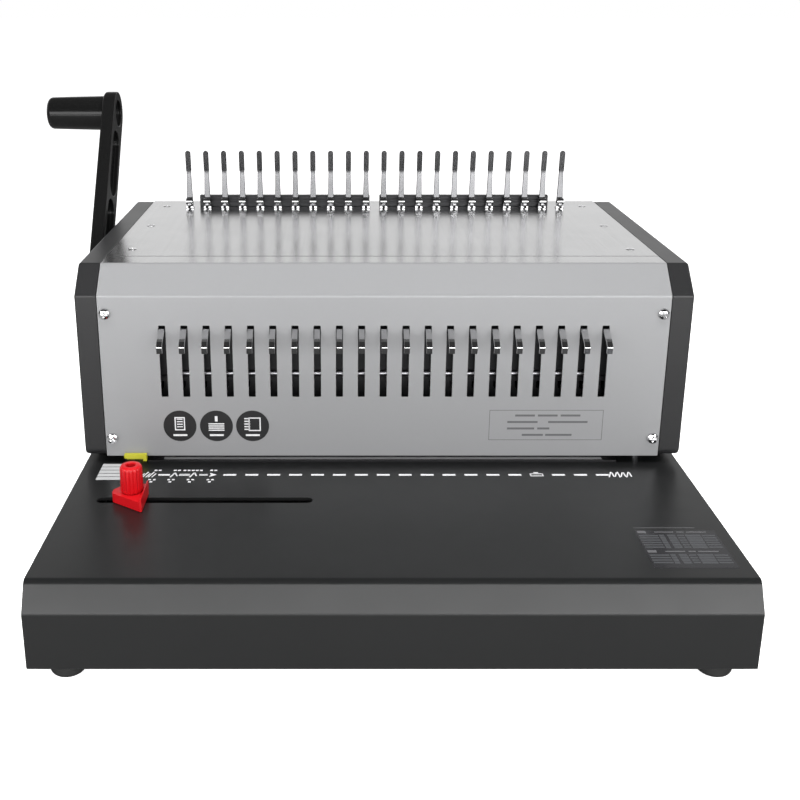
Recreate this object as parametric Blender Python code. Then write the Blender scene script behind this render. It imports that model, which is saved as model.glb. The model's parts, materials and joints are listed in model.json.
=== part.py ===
"""Comb binding machine: a base with a paper table, a housing with the punch mechanism inside, a comb rack
on top and one side handle. Run it with: blender --background --python part.py

Lengths are written in millimetres and turned into metres where a mesh is made. The machine frame has X to the
right, Y from the front face to the back and Z up from the floor. The root empty then puts the middle of the
whole machine's footprint at the world origin. Each body of the mechanism is an empty on its joint's axis, and
the pieces of that body are its children.
"""

import math

import bmesh
import bpy
from mathutils import Vector

MM = 0.001
GAP = 0.3  # clearance between pieces that touch in the real machine

# Driving dimensions
PITCH = 14.2875  # hole pitch of plastic combs, 9/16 inch
HOLES = 21
HALF_WIDTH = 198.0
DEPTH = 390.0
FOOT_HEIGHT = 7.0
TABLE_Z = 57.0
TABLE_THICK = 2.0
BASE_FOLD_Z = 41.4
BASE_FOLD_Y = 9.0
PANEL_Y = 158.0  # front of the housing
PANEL_BOTTOM_Z = 62.1
FOLD_Z = 173.0
CHAMFER_Y = 176.0
TOP_Z = 190.0
TOP_SEAM_Y = 195.0
SHEET = 1.2
SIDE_THICK = 14.0
PUNCH_Y = 172.0

# Slots in the front cover, one over each punch
SLOT_WIDTH = 4.5
SLOT_LOW, SLOT_HIGH = 104.0, 153.0

# Shaft, cams and the travel they give over the full swing of the handle
SHAFT_Y, SHAFT_Z = 262.0, 102.0
SHAFT_RADIUS = 7.0
SWING = math.radians(100.0)
PUNCH_TRAVEL = 15.0
OPENER_TRAVEL = 14.0
CAM_RADIUS = 19.0
CAM_PLAY = 0.65

# Handle
HANDLE_LENGTH = 200.4
HANDLE_LEAN = math.radians(53.9)  # from the Y axis, leaning back
HANDLE_INNER_X = -207.4
HANDLE_THICK = 10.1
GRIP_END_X = -263.3
GRIP_RADIUS = 13.0

# Comb rack
FINGER_Y = 362.0
FINGER_TOP_Z = 236.4
RAIL_Y = (366.6, 372.6)

# Paper guide
GUIDE_SLOT_X = (-179.0, -45.0)
GUIDE_SLOT_Y = 103.0
GUIDE_SLOT_WIDTH = 7.5
GUIDE_X = -156.5

FOOTPRINT_X = (GRIP_END_X, HALF_WIDTH)
HEAD_RADIUS = 17.0
GRIP_Y = SHAFT_Y + HANDLE_LENGTH * math.cos(HANDLE_LEAN)
GRIP_Z = SHAFT_Z + HANDLE_LENGTH * math.sin(HANDLE_LEAN)
ORIGIN = ((FOOTPRINT_X[0] + FOOTPRINT_X[1]) / 2, (GRIP_Y + HEAD_RADIUS) / 2, 0.0)

FRAME_X = (171.0, 174.0)
YOKE_X = (161.0, 165.0)
OPENER_ARM_X = (150.0, 154.0)

FINISHES = {  # name: colour, roughness, metallic
    "black_housing": ((0.055, 0.055, 0.058), 0.5, 0.0),
    "silver_paint": ((0.42, 0.42, 0.43), 0.38, 0.3),
    "polished_steel": ((0.72, 0.72, 0.73), 0.12, 1.0),
    "base_paint": ((0.04, 0.04, 0.042), 0.42, 0.0),
    "zinc_steel": ((0.5, 0.5, 0.52), 0.35, 1.0),
    "dark_steel": ((0.07, 0.07, 0.075), 0.4, 0.8),
    "chrome": ((0.8, 0.8, 0.8), 0.08, 1.0),
    "gloss_black": ((0.012, 0.012, 0.012), 0.15, 0.0),
    "red_plastic": ((0.75, 0.012, 0.02), 0.35, 0.0),
    "yellow_plastic": ((0.6, 0.58, 0.03), 0.45, 0.0),
    "rubber": ((0.02, 0.02, 0.02), 0.85, 0.0),
    "drawer_plastic": ((0.03, 0.03, 0.03), 0.5, 0.0),
    "brass": ((0.6, 0.42, 0.16), 0.35, 1.0),
}


# ---------------------------------------------------------------- outlines and solids

def arc(centre, radius, start, end, steps):
    """Points of an arc, in degrees, both ends included."""
    return [
        (centre[0] + radius * math.cos(math.radians(start + (end - start) * i / steps)),
         centre[1] + radius * math.sin(math.radians(start + (end - start) * i / steps)))
        for i in range(steps + 1)
    ]


def rounded(points, radii, steps=4):
    """The outline with corner i rounded by radii[i]; a radius of 0 keeps the corner."""
    out = []
    count = len(points)
    for i, (point, radius) in enumerate(zip(points, radii)):
        if radius <= 0:
            out.append(tuple(point))
            continue
        corner = Vector(point)
        to_last = (Vector(points[i - 1]) - corner).normalized()
        to_next = (Vector(points[(i + 1) % count]) - corner).normalized()
        half = to_last.angle(to_next) / 2
        reach = radius / math.tan(half)
        middle = corner + (to_last + to_next).normalized() * (radius / math.sin(half))
        start = corner + to_last * reach - middle
        turn = start.angle_signed(corner + to_next * reach - middle)
        for step in range(steps + 1):
            angle = -turn * step / steps
            out.append((
                middle.x + start.x * math.cos(angle) - start.y * math.sin(angle),
                middle.y + start.x * math.sin(angle) + start.y * math.cos(angle),
            ))
    return out


def shifted(points, distance, closed=True):
    """Each edge of the outline moved to its left by the distance, with the corners mitred."""
    count = len(points)
    corners = [Vector(p) for p in points]
    out = []
    for i, corner in enumerate(corners):
        before = corner - corners[i - 1] if closed or i > 0 else None
        after = corners[(i + 1) % count] - corner if closed or i < count - 1 else None
        before = (before or after).normalized()
        after = (after or before).normalized()
        left_before = Vector((-before.y, before.x))
        left_after = Vector((-after.y, after.x))
        bisector = (left_before + left_after).normalized()
        out.append(tuple(corner + bisector * (distance / bisector.dot(left_after))))
    return out


def strip(path, thickness):
    """The outline of a bent strip: the path, and the path moved to its right by the thickness."""
    return list(path) + list(reversed(shifted(path, -thickness, closed=False)))


def place(axis, along, u, v):
    """A point from its place along an axis and its two other coordinates, in X, Y, Z order."""
    return {"x": (along, u, v), "y": (u, along, v), "z": (u, v, along)}[axis]


def prism(axis, outline, low, high, outline_high=None):
    """A closed solid: the outline at low joined to the same outline, or another, at high."""
    ends = outline_high or outline
    count = len(outline)
    points = [place(axis, low, *p) for p in outline] + [place(axis, high, *p) for p in ends]
    faces = [tuple(range(count)), tuple(range(2 * count - 1, count - 1, -1))]
    faces += [(i, i + count, (i + 1) % count + count, (i + 1) % count) for i in range(count)]
    return points, faces


def box(x, y, z):
    return prism("z", [(x[0], y[0]), (x[1], y[0]), (x[1], y[1]), (x[0], y[1])], z[0], z[1])


def circle(centre, radius, sides):
    return arc(centre, radius, 0, 360, sides)[:-1]


def cylinder(axis, centre, radius, low, high, sides=32):
    return prism(axis, circle(centre, radius, sides), low, high)


def capsule(start, end, half_width, steps=6):
    """A long hole's outline in its own plane, along the first coordinate."""
    return arc(end, half_width, -90, 90, steps) + arc(start, half_width, 90, 270, steps)


# ---------------------------------------------------------------- objects

def clear_scene():
    for old in list(bpy.data.objects):
        bpy.data.objects.remove(old)


def material(name):
    found = bpy.data.materials.get(name)
    if found:
        return found
    colour, roughness, metallic = FINISHES[name]
    made = bpy.data.materials.new(name)
    made.use_nodes = True
    shader = made.node_tree.nodes["Principled BSDF"]
    shader.inputs["Base Color"].default_value = (*colour, 1.0)
    shader.inputs["Roughness"].default_value = roughness
    shader.inputs["Metallic"].default_value = metallic
    made.diffuse_color = (*colour, 1.0)
    return made


def body_empty(name, axis_point, parent=None):
    """An empty at a point of the machine frame, in millimetres."""
    empty = bpy.data.objects.new(name, None)
    bpy.context.scene.collection.objects.link(empty)
    empty["axis_point"] = axis_point
    origin = Vector(parent["axis_point"]) if parent else Vector(ORIGIN)
    empty.location = (Vector(axis_point) - origin) * MM
    empty.parent = parent
    return empty


def mesh_object(name, body, solids, bevel=None):
    """One object on a body from closed solids in machine coordinates. bevel is (chooser, width, segments)."""
    shape = bmesh.new()
    for points, faces in solids:
        corners = [shape.verts.new((Vector(p) - Vector(body["axis_point"])) * MM) for p in points]
        for face in faces:
            shape.faces.new([corners[i] for i in face])
    bmesh.ops.recalc_face_normals(shape, faces=shape.faces)
    if bevel:
        chooser, width, segments = bevel
        offset = Vector(body["axis_point"])
        chosen = [
            edge for edge in shape.edges
            if chooser(*[vertex.co / MM + offset for vertex in edge.verts])
        ]
        bmesh.ops.bevel(shape, geom=chosen, offset=width * MM, segments=segments,
                        profile=0.5, affect="EDGES", clamp_overlap=True)
    mesh = bpy.data.meshes.new(name)
    shape.to_mesh(mesh)
    shape.free()
    made = bpy.data.objects.new(name, mesh)
    bpy.context.scene.collection.objects.link(made)
    made.parent = body
    return made


def piece(name, body, finish, solids, add=(), cut=(), bevel=None):
    """A node: solids, joined to each group in add and cut by each group in cut, with hidden helpers."""
    made = mesh_object(name, body, solids, bevel)
    made.data.materials.append(material(finish))
    steps = [("UNION", group) for group in add] + [("DIFFERENCE", group) for group in cut]
    for number, (operation, group) in enumerate(steps):
        helper = mesh_object(f"{name}_{operation.lower()}_{number}", body, group)
        helper.hide_render = True
        helper.display_type = "WIRE"
        boolean = made.modifiers.new(helper.name, "BOOLEAN")
        boolean.operation = operation
        boolean.solver = "EXACT"
        boolean.object = helper
    made.data.shade_smooth()
    made.data.set_sharp_from_angle(angle=math.radians(30))
    return made


def hole_places():
    """X of each punch, left to right."""
    return [(i - (HOLES - 1) / 2) * PITCH for i in range(HOLES)]


def finger_places():
    """X of each comb finger: one either side of every hole."""
    return [(i - HOLES / 2) * PITCH for i in range(HOLES + 1)]


# ---------------------------------------------------------------- base

WALL = 2.0
DIE_X, DIE_Y = 157.0, (160.0, 190.0)
DRAWER_Y = (148.0, 216.0)
DRAWER_Z = (9.4, 46.5)
FOOT_PLACES = {"front_left": (-178, 11.5), "front_right": (178, 11.5),
               "rear_left": (-177, 365), "rear_right": (177, 365)}
TAB_PIN_SLOT = ((-171.5, -161.5), (163.6, 167.4))


def base_shell(machine):
    outline = [(0, FOOT_HEIGHT), (0, BASE_FOLD_Z), (BASE_FOLD_Y, TABLE_Z), (DEPTH, TABLE_Z),
               (DEPTH, FOOT_HEIGHT)]
    inside = [(WALL, 0), (WALL, BASE_FOLD_Z - 0.4), (BASE_FOLD_Y + 1.2, TABLE_Z - TABLE_THICK),
              (DEPTH - WALL, TABLE_Z - TABLE_THICK), (DEPTH - WALL, 0)]

    def side_edge(a, b):
        on_side = abs(abs(a.x) - HALF_WIDTH) < 0.1 and abs(a.x - b.x) < 0.1
        return on_side and max(a.z, b.z) > FOOT_HEIGHT + 1

    table_low, table_high = TABLE_Z - 7, TABLE_Z + 3
    half = GUIDE_SLOT_WIDTH / 2
    slot = capsule((GUIDE_SLOT_X[0] + half, GUIDE_SLOT_Y), (GUIDE_SLOT_X[1] - half, GUIDE_SLOT_Y), half)
    die_hole = box((-DIE_X - 0.6, DIE_X + 0.6), (DIE_Y[0] - 0.6, DIE_Y[1] + 0.6), (table_low, table_high))
    drawer_hole = box((HALF_WIDTH - 8, HALF_WIDTH + 5),
                      (DRAWER_Y[0] - 0.6, DRAWER_Y[1] + 0.6), (9.1, DRAWER_Z[1] + 0.6))
    piece(
        "base_shell", machine, "base_paint",
        [prism("x", outline, -HALF_WIDTH, HALF_WIDTH)],
        cut=[
            [prism("x", inside, -HALF_WIDTH + WALL, HALF_WIDTH - WALL)],
            [prism("z", slot, table_low, table_high), die_hole,
             box(*TAB_PIN_SLOT, (table_low, table_high))],
            [drawer_hole],
        ],
        bevel=(side_edge, 3.0, 3),
    )


def base_plate(machine):
    inset = WALL + 0.4
    piece("base_plate", machine, "base_paint",
          [box((-HALF_WIDTH + inset, HALF_WIDTH - inset), (inset, DEPTH - inset),
               (FOOT_HEIGHT, FOOT_HEIGHT + 1.8))])


def feet(machine):
    for name, (x, y) in FOOT_PLACES.items():
        top = FOOT_HEIGHT - GAP

        def lower_rim(a, b):
            return max(a.z, b.z) < 0.1

        piece(f"foot_{name}", machine, "rubber", [cylinder("z", (x, y), 10, 0, top, 24)],
              bevel=(lower_rim, 3.2, 3))


# ---------------------------------------------------------------- housing

def side_outline():
    points = [(PANEL_Y, PANEL_BOTTOM_Z), (PANEL_Y, FOLD_Z), (CHAMFER_Y, TOP_Z), (DEPTH, TOP_Z),
              (DEPTH, TABLE_Z + 0.5), (192, TABLE_Z + 0.5), (192, PANEL_BOTTOM_Z)]
    return rounded(points, [5, 2, 2, 3, 2, 0, 0], 3)


def side_panels(machine):
    wall = 2.5
    inside = [(PANEL_Y + wall, PANEL_BOTTOM_Z + wall), (PANEL_Y + wall, FOLD_Z - 1.1),
              (CHAMFER_Y + 1.1, TOP_Z - wall), (DEPTH - wall, TOP_Z - wall),
              (DEPTH - wall, TABLE_Z + 0.5 + wall), (192 + wall, TABLE_Z + 0.5 + wall),
              (192 + wall, PANEL_BOTTOM_Z + wall)]
    for name, side in (("left", -1), ("right", 1)):

        def outer_edge(a, b):
            return abs(a.x - side * HALF_WIDTH) < 0.1 and abs(b.x - side * HALF_WIDTH) < 0.1

        inner = side * (HALF_WIDTH - SIDE_THICK)
        cuts = [[prism("x", inside, inner - side * 5, side * (HALF_WIDTH - wall))]]
        if side < 0:
            cuts.append([cylinder("x", (SHAFT_Y, SHAFT_Z), SHAFT_RADIUS + 2,
                                  -HALF_WIDTH - 4, inner + 3, 24)])
        piece(f"{name}_side_panel", machine, "black_housing",
              [prism("x", side_outline(), inner, side * HALF_WIDTH)],
              cut=cuts, bevel=(outer_edge, 1.6, 2))


SCREW_X = 179.0
SCREW_HEIGHTS = {"upper": 161.0, "lower": 75.0}
TAB_X = (-171.5, -156.7)
COVER_HALF = HALF_WIDTH - SIDE_THICK - 0.4


def front_cover(machine):
    path = [(PANEL_Y, PANEL_BOTTOM_Z), (PANEL_Y, FOLD_Z), (CHAMFER_Y, TOP_Z), (TOP_SEAM_Y - GAP, TOP_Z)]
    through = (PANEL_Y - 4, PANEL_Y + 5)
    slots = [box((x - SLOT_WIDTH / 2, x + SLOT_WIDTH / 2), through, (SLOT_LOW, SLOT_HIGH))
             for x in hole_places()]
    screw_holes = [cylinder("y", (side * SCREW_X, z), 2.4, *through, sides=16)
                   for side in (-1, 1) for z in SCREW_HEIGHTS.values()]
    piece("front_cover", machine, "silver_paint",
          [prism("x", strip(path, SHEET), -COVER_HALF, COVER_HALF)],
          cut=[slots, screw_holes])


RISER_X = (-108.0, -40.0, 40.0, 108.0)
RISER_Y = (367.6, 371.6)
RISER_HALF = 4.0


def top_plate(machine):
    levels = (TOP_Z - 6, TOP_Z + 4)
    finger_holes = [box((x - 3.3, x + 3.3), (FINGER_Y - 1.3, FINGER_Y + 1.3), levels)
                    for x in finger_places()]
    riser_slots = [box((x - RISER_HALF - 0.6, x + RISER_HALF + 0.6),
                       (RISER_Y[0] - 0.7, RISER_Y[1] + OPENER_TRAVEL + 0.7), levels) for x in RISER_X]
    piece("top_plate", machine, "polished_steel",
          [box((-COVER_HALF, COVER_HALF), (TOP_SEAM_Y, DEPTH), (TOP_Z - SHEET, TOP_Z))],
          cut=[finger_holes, riser_slots])


def rear_cover(machine):
    path = [(DEPTH - 12, TABLE_Z + 0.5), (DEPTH - 0.2, TABLE_Z + 0.5), (DEPTH - 0.2, TOP_Z - SHEET - 0.4)]
    piece("rear_cover", machine, "black_housing",
          [prism("x", strip(path, -SHEET), -COVER_HALF, COVER_HALF)])


def frame_plates(machine):
    outline = [(171, TABLE_Z + 0.4), (171, 66.5), (160, 66.5), (160, 170.5), (178, TOP_Z - 1.6),
               (386, TOP_Z - 1.6), (386, 60.2), (376, 60.2), (376, TABLE_Z + 0.4)]
    for name, side in (("left", -1), ("right", 1)):
        inner, outer = side * FRAME_X[0], side * FRAME_X[1]
        flange = box(sorted((side * (FRAME_X[0] + 1), side * (COVER_HALF - 1))),
                     (159.7, 162.5), (67.5, 169.0))
        screw_holes = [cylinder("y", (side * SCREW_X, z), 2.3, 155, 168, 16)
                       for z in SCREW_HEIGHTS.values()]
        bush_hole = cylinder("x", (SHAFT_Y, SHAFT_Z), 10.35, inner - side * 4, outer + side * 4)
        piece(f"{name}_frame_plate", machine, "zinc_steel", [prism("x", outline, inner, outer)],
              add=[[flange]], cut=[screw_holes, [bush_hole]])


def shaft_bushes(machine):
    for name, side in (("left", -1), ("right", 1)):
        centre = (SHAFT_Y, SHAFT_Z)
        piece(f"{name}_shaft_bush", machine, "brass",
              [cylinder("x", centre, 10.0, side * 169.2, side * 176.0)],
              add=[[cylinder("x", centre, 13.0, side * 168.2, side * 170.6)]],
              cut=[[cylinder("x", centre, SHAFT_RADIUS + GAP, side * 164, side * 180)]])


def cover_screws(machine):
    for side_name, side in (("left", -1), ("right", 1)):
        for level, z in SCREW_HEIGHTS.items():
            centre = (side * SCREW_X, z)
            recesses = [[box((centre[0] - wide, centre[0] + wide), (150, PANEL_Y - 1.4),
                             (z - high, z + high))] for wide, high in ((0.6, 2.2), (2.2, 0.6))]

            def front_rim(a, b):
                return max(a.y, b.y) < PANEL_Y - 2.1

            piece(f"cover_screw_{side_name}_{level}", machine, "chrome",
                  [cylinder("y", centre, 3.7, PANEL_Y - 2.3, PANEL_Y - 0.2, 20)],
                  add=[[cylinder("y", centre, 1.9, PANEL_Y - 1.0, PANEL_Y + 9, 12)]],
                  cut=recesses, bevel=(front_rim, 0.7, 2))


# ---------------------------------------------------------------- punch, fixed side

DIE_TOP = TABLE_Z + 0.8
GUIDE_Z = (PANEL_BOTTOM_Z, 75.0)
PUNCH_HALF = (4.0, 1.5)


def punch_holes(levels):
    half_x, half_y = PUNCH_HALF[0] + 0.4, PUNCH_HALF[1] + 0.4
    return [box((x - half_x, x + half_x), (PUNCH_Y - half_y, PUNCH_Y + half_y), levels)
            for x in hole_places()]


def die_plate(machine):
    piece("die_plate", machine, "dark_steel", [box((-DIE_X, DIE_X), DIE_Y, (53, DIE_TOP))],
          cut=[punch_holes((48, DIE_TOP + 4))])


def punch_guide(machine):
    low, high = GUIDE_Z
    ear = FRAME_X[0] - 0.4
    outline = [(-ear, 66), (-DIE_X, 66), (-DIE_X, low), (DIE_X, low), (DIE_X, 66), (ear, 66),
               (ear, high), (-ear, high)]
    spacers = [box(sorted((side * 151.0, side * (DIE_X - 0.5))), (184, DIE_Y[1] - 0.5),
                   (DIE_TOP + GAP, low + 2)) for side in (-1, 1)]
    piece("punch_guide", machine, "zinc_steel", [prism("y", outline, *DIE_Y)],
          add=[spacers], cut=[punch_holes((low - 3, high + 4))])


# ---------------------------------------------------------------- punch carriage

BAR_Y = (167.0, 178.0)
BAR_Z = (112.0, 156.0)
ROD_Z = 117.5
ROD_RADIUS = 2.0
PULL_TOP_Z = 151.2
PULL_THICK = 1.4
PULL_HALF = 1.8
TIP_STEP = 0.8


def punch_outline(x, tip):
    wide, narrow = PUNCH_HALF[0], 2.4
    return [(x - wide, tip), (x + wide, tip), (x + wide, 104), (x + narrow, 106.5), (x + narrow, 116),
            (x - narrow, 116), (x - narrow, 106.5), (x - wide, 104)]


def punch_bar(carriage):
    punches = [prism("y", punch_outline(x, GUIDE_Z[0] + 0.5 + TIP_STEP * (i % 3)),
                     PUNCH_Y - PUNCH_HALF[1], PUNCH_Y + PUNCH_HALF[1]) for i, x in enumerate(hole_places())]
    pull_holes = [box((x - PULL_HALF - 0.4, x + PULL_HALF + 0.4), (BAR_Y[0] - 4, BAR_Y[1] + 4),
                      (PULL_TOP_Z - PULL_THICK - 0.4, PULL_TOP_Z + 0.4)) for x in hole_places()]
    groove = box((-170, 170), (BAR_Y[0] - 4, BAR_Y[0] + 2.3), (ROD_Z - 2.4, ROD_Z + 2.4))
    end = YOKE_X[0] - 0.4
    piece("punch_bar", carriage, "dark_steel", [box((-end, end), BAR_Y, BAR_Z)],
          add=[punches], cut=[pull_holes, [groove]])


def keeper_rod(carriage):
    piece("keeper_rod", carriage, "zinc_steel",
          [cylinder("x", (BAR_Y[0], ROD_Z), ROD_RADIUS, -137, 137, 16)])


def cam_throw(travel):
    """Distance of a cam disc's centre from the shaft, which covers the travel over the swing."""
    return travel / (2 * math.sin(SWING / 2))


def cam_offset(travel, phase):
    """Centre of a cam disc from the shaft, as (Y, Z), with the handle at rest."""
    return cam_throw(travel) * math.cos(phase), cam_throw(travel) * math.sin(phase)


PUNCH_CAM = cam_offset(PUNCH_TRAVEL, math.pi - SWING / 2)
OPENER_CAM = cam_offset(OPENER_TRAVEL, -math.pi / 2 - SWING / 2)
CAM_REACH = CAM_RADIUS + CAM_PLAY


def punch_yokes(carriage):
    outline = [(BAR_Y[0] + 1, 134.5), (BAR_Y[0] + 1, 155), (240, 155), (287, 141), (287, 80), (224, 80),
               (224, 127), (213, 134.5)]
    front = SHAFT_Y - cam_throw(PUNCH_TRAVEL) - CAM_REACH
    rear = SHAFT_Y + PUNCH_CAM[0] + CAM_REACH
    middle_z = SHAFT_Z + PUNCH_CAM[1]
    window = [(front, middle_z - CAM_REACH), (rear, middle_z - CAM_REACH),
              (rear, middle_z + CAM_REACH), (front, middle_z + CAM_REACH)]
    for name, side in (("left", -1), ("right", 1)):
        piece(f"{name}_punch_yoke", carriage, "zinc_steel",
              [prism("x", rounded(outline, [0, 3, 6, 8, 8, 8, 4, 4], 2),
                     side * YOKE_X[0], side * YOKE_X[1])],
              cut=[[prism("x", window, side * (YOKE_X[0] - 3), side * (YOKE_X[1] + 3))]])


def punch_pull(number, x, pull_body):
    path = [(BAR_Y[1] - 1, PULL_TOP_Z), (157.6, PULL_TOP_Z), (146.5, 145.4), (144.0, 143.0), (144.6, 138.4)]
    piece(f"punch_pull_{number:02d}", pull_body, "chrome",
          [prism("x", strip(path, -PULL_THICK), x - PULL_HALF, x + PULL_HALF)])


# ---------------------------------------------------------------- handle body

def main_shaft(handle):
    piece("main_shaft", handle, "zinc_steel",
          [cylinder("x", (SHAFT_Y, SHAFT_Z), SHAFT_RADIUS, -212.5, 176.5)])


def cams(handle):
    shaft = (SHAFT_Y, SHAFT_Z)
    punch_centre = (SHAFT_Y + PUNCH_CAM[0], SHAFT_Z + PUNCH_CAM[1])
    opener_centre = (SHAFT_Y + OPENER_CAM[0], SHAFT_Z + OPENER_CAM[1])
    for name, side in (("left", -1), ("right", 1)):
        piece(f"{name}_cam", handle, "zinc_steel",
              [cylinder("x", punch_centre, CAM_RADIUS, side * 160.0, side * 166.0, 40)],
              add=[[cylinder("x", opener_centre, CAM_RADIUS, side * 149.0, side * 155.0, 40)],
                   [cylinder("x", shaft, 9.3, side * 154.0, side * 160.6)]],
              cut=[[cylinder("x", shaft, SHAFT_RADIUS + GAP, side * 145, side * 170)]])


def along_arm(distance, across):
    """A point of the handle's plane, from the shaft towards the grip, as (Y, Z)."""
    direction = Vector((math.cos(HANDLE_LEAN), math.sin(HANDLE_LEAN)))
    left = Vector((-direction.y, direction.x))
    return tuple(Vector((SHAFT_Y, SHAFT_Z)) + direction * distance + left * across)


def arm_outline(hub_radius, head_radius, start, end, steps=10):
    """Two round ends and the straight sides that touch both."""
    lean = math.degrees(HANDLE_LEAN)
    tilt = math.degrees(math.asin((hub_radius - head_radius) / (end - start)))
    head = arc(along_arm(end, 0), head_radius, lean - 90 + tilt, lean + 90 - tilt, steps)
    hub = arc(along_arm(start, 0), hub_radius, lean + 90 - tilt, lean + 270 + tilt, steps)
    return head + hub


def handle_arm(handle):
    outer_x = HANDLE_INNER_X - HANDLE_THICK
    pocket_depth = 3.0
    pockets = [prism("x", arm_outline(12.5, 11.0, start, end, 5), HANDLE_INNER_X - pocket_depth,
                     HANDLE_INNER_X + 4) for start, end in ((46, 112), (140, 172))]
    pockets.append(cylinder("x", along_arm(HANDLE_LENGTH, 0), 10.5, HANDLE_INNER_X - pocket_depth,
                            HANDLE_INNER_X + 4, 24))

    def outer_rim(a, b):
        return max(a.x, b.x) < outer_x + 0.1

    piece("handle_arm", handle, "gloss_black",
          [prism("x", arm_outline(20.0, HEAD_RADIUS, 0, HANDLE_LENGTH), outer_x, HANDLE_INNER_X)],
          add=[[cylinder("x", (SHAFT_Y, SHAFT_Z), 14, HANDLE_INNER_X - 2, -HALF_WIDTH - 0.6)]],
          cut=[pockets[1:2], pockets[:1], pockets[2:],
               [cylinder("x", (SHAFT_Y, SHAFT_Z), SHAFT_RADIUS + GAP, -213.0, -190)]],
          bevel=(outer_rim, 2.0, 2))


def handle_grip(handle):
    outer_x = HANDLE_INNER_X - HANDLE_THICK
    centre = along_arm(HANDLE_LENGTH, 0)

    def outer_rim(a, b):
        return max(a.x, b.x) < GRIP_END_X + 0.1

    piece("handle_grip", handle, "gloss_black",
          [prism("x", circle(centre, GRIP_RADIUS - 0.4, 32), GRIP_END_X, outer_x - GAP,
                 circle(centre, GRIP_RADIUS + 0.6, 32))],
          bevel=(outer_rim, 4.0, 3))


# ---------------------------------------------------------------- comb opener

def comb_finger_rack(machine):
    def blade(x):
        return prism("y", [(x - 2.75, 186), (x + 2.75, 186), (x + 2.0, FINGER_TOP_Z - 1.8),
                           (x - 2.0, FINGER_TOP_Z)], FINGER_Y - 0.8, FINGER_Y + 0.8)

    strip_bar = box((-FRAME_X[0] + 0.4, FRAME_X[0] - 0.4), (357.5, 366.3), (184, TOP_Z - SHEET - 0.4))
    collars = [box((x - 3.4, x + 3.4), (FINGER_Y - 2.6, FINGER_Y + 2.2), (TOP_Z + GAP, TOP_Z + 3.4))
               for x in finger_places()]
    piece("comb_finger_rack", machine, "chrome", [strip_bar],
          add=[[blade(x) for x in finger_places()], collars])


def opener_slide(opener):
    plate = box((-157, 157), (345, 372), (180, 182.5))
    low = SHAFT_Z - cam_throw(OPENER_TRAVEL) - CAM_REACH
    high = SHAFT_Z + OPENER_CAM[1] + CAM_REACH
    middle_y = SHAFT_Y + OPENER_CAM[0]
    outline = [(227, 64), (283, 64), (283, 108), (371, 172), (371, 181.2), (343, 181.2), (268, 124),
               (227, 124)]
    window = [(middle_y - CAM_REACH, low), (middle_y + CAM_REACH, low),
              (middle_y + CAM_REACH, high), (middle_y - CAM_REACH, high)]
    arms = [prism("x", outline, side * OPENER_ARM_X[0], side * OPENER_ARM_X[1]) for side in (-1, 1)]
    windows = [prism("x", window, side * (OPENER_ARM_X[0] - 3), side * (OPENER_ARM_X[1] + 3))
               for side in (-1, 1)]
    risers = [box((x - RISER_HALF, x + RISER_HALF), RISER_Y, (181, TOP_Z + 0.4)) for x in RISER_X]
    piece("opener_slide", opener, "zinc_steel", [plate], add=[arms, risers], cut=[windows])


def opener_rails(opener):
    for name, x in (("left", (-142.5, -4.0)), ("right", (4.0, 141.5))):
        piece(f"{name}_opener_rail", opener, "dark_steel", [box(x, RAIL_Y, (TOP_Z + 0.7, TOP_Z + 9))])


# ---------------------------------------------------------------- paper guide, depth stop and drawer

KNOB_Z = (63.9, 81.0)
FENCE_TOP = 66.2


def edge_guide(guide):
    plan = [(GUIDE_X + 8.5, 85.5), (GUIDE_X + 8.5, 112.6), (GUIDE_X - 6, 112.6), (GUIDE_X - 11.9, 104.5),
            (GUIDE_X - 11.9, 99.8)]
    half = GUIDE_SLOT_WIDTH / 2 - 0.4
    stem = capsule((GUIDE_X - 4, GUIDE_SLOT_Y), (GUIDE_X + 4, GUIDE_SLOT_Y), half, 4)
    piece("edge_guide", guide, "red_plastic", [prism("z", plan, TABLE_Z + 0.4, KNOB_Z[0] - 0.4)],
          add=[[prism("z", stem, TABLE_Z - TABLE_THICK + 0.2, TABLE_Z + 2)],
               [box((GUIDE_X + 7.3, GUIDE_X + 8.49), (85.51, 112.59), (KNOB_Z[0] - 2, FENCE_TOP))]],
          cut=[[cylinder("z", (GUIDE_X, GUIDE_SLOT_Y), 2.9, 50, 75, 20)]])


def guide_knob(knob):
    centre = (GUIDE_X, GUIDE_SLOT_Y)
    ribs = 24
    outline = []
    for i in range(2 * ribs):
        angle = math.pi * i / ribs
        radius = 7.0 if i % 2 else 6.6
        outline.append((centre[0] + radius * math.cos(angle), centre[1] + radius * math.sin(angle)))
    piece("guide_knob", knob, "red_plastic", [prism("z", outline, *KNOB_Z)],
          add=[[cylinder("z", centre, 2.5, 50, KNOB_Z[0] + 3, 20)],
               [cylinder("z", centre, 6.5, TABLE_Z - TABLE_THICK - 3.6, TABLE_Z - TABLE_THICK - 0.4, 24)]],
          cut=[[cylinder("z", centre, 3.0, KNOB_Z[1] - 6, KNOB_Z[1] + 3, 20)]])


def margin_tab(tab):
    left, right = TAB_X
    front, lip_back, back = 154.8, 157.6, 168.0
    piece("margin_tab", tab, "yellow_plastic", [box(TAB_X, (front, lip_back), (61.8, 64.3))],
          add=[[box((right - 2.3, right - 0.01), (front + 0.01, lip_back - 0.01), (59.7, 62.3))],
               [box((left + 0.02, right - 0.02), (156.2, lip_back - 0.02), (60.8, 62.5))],
               [box((left + 0.03, right - 0.03), (156.3, back), (60.81, 61.6))],
               [box((left + 0.04, right - 2.0), (162.6, back - 0.02), (TABLE_Z + 0.4, 61.4))],
               [box((-167.5, -164.5), (164.1, 166.9), (53, 58.6))]])


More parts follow.
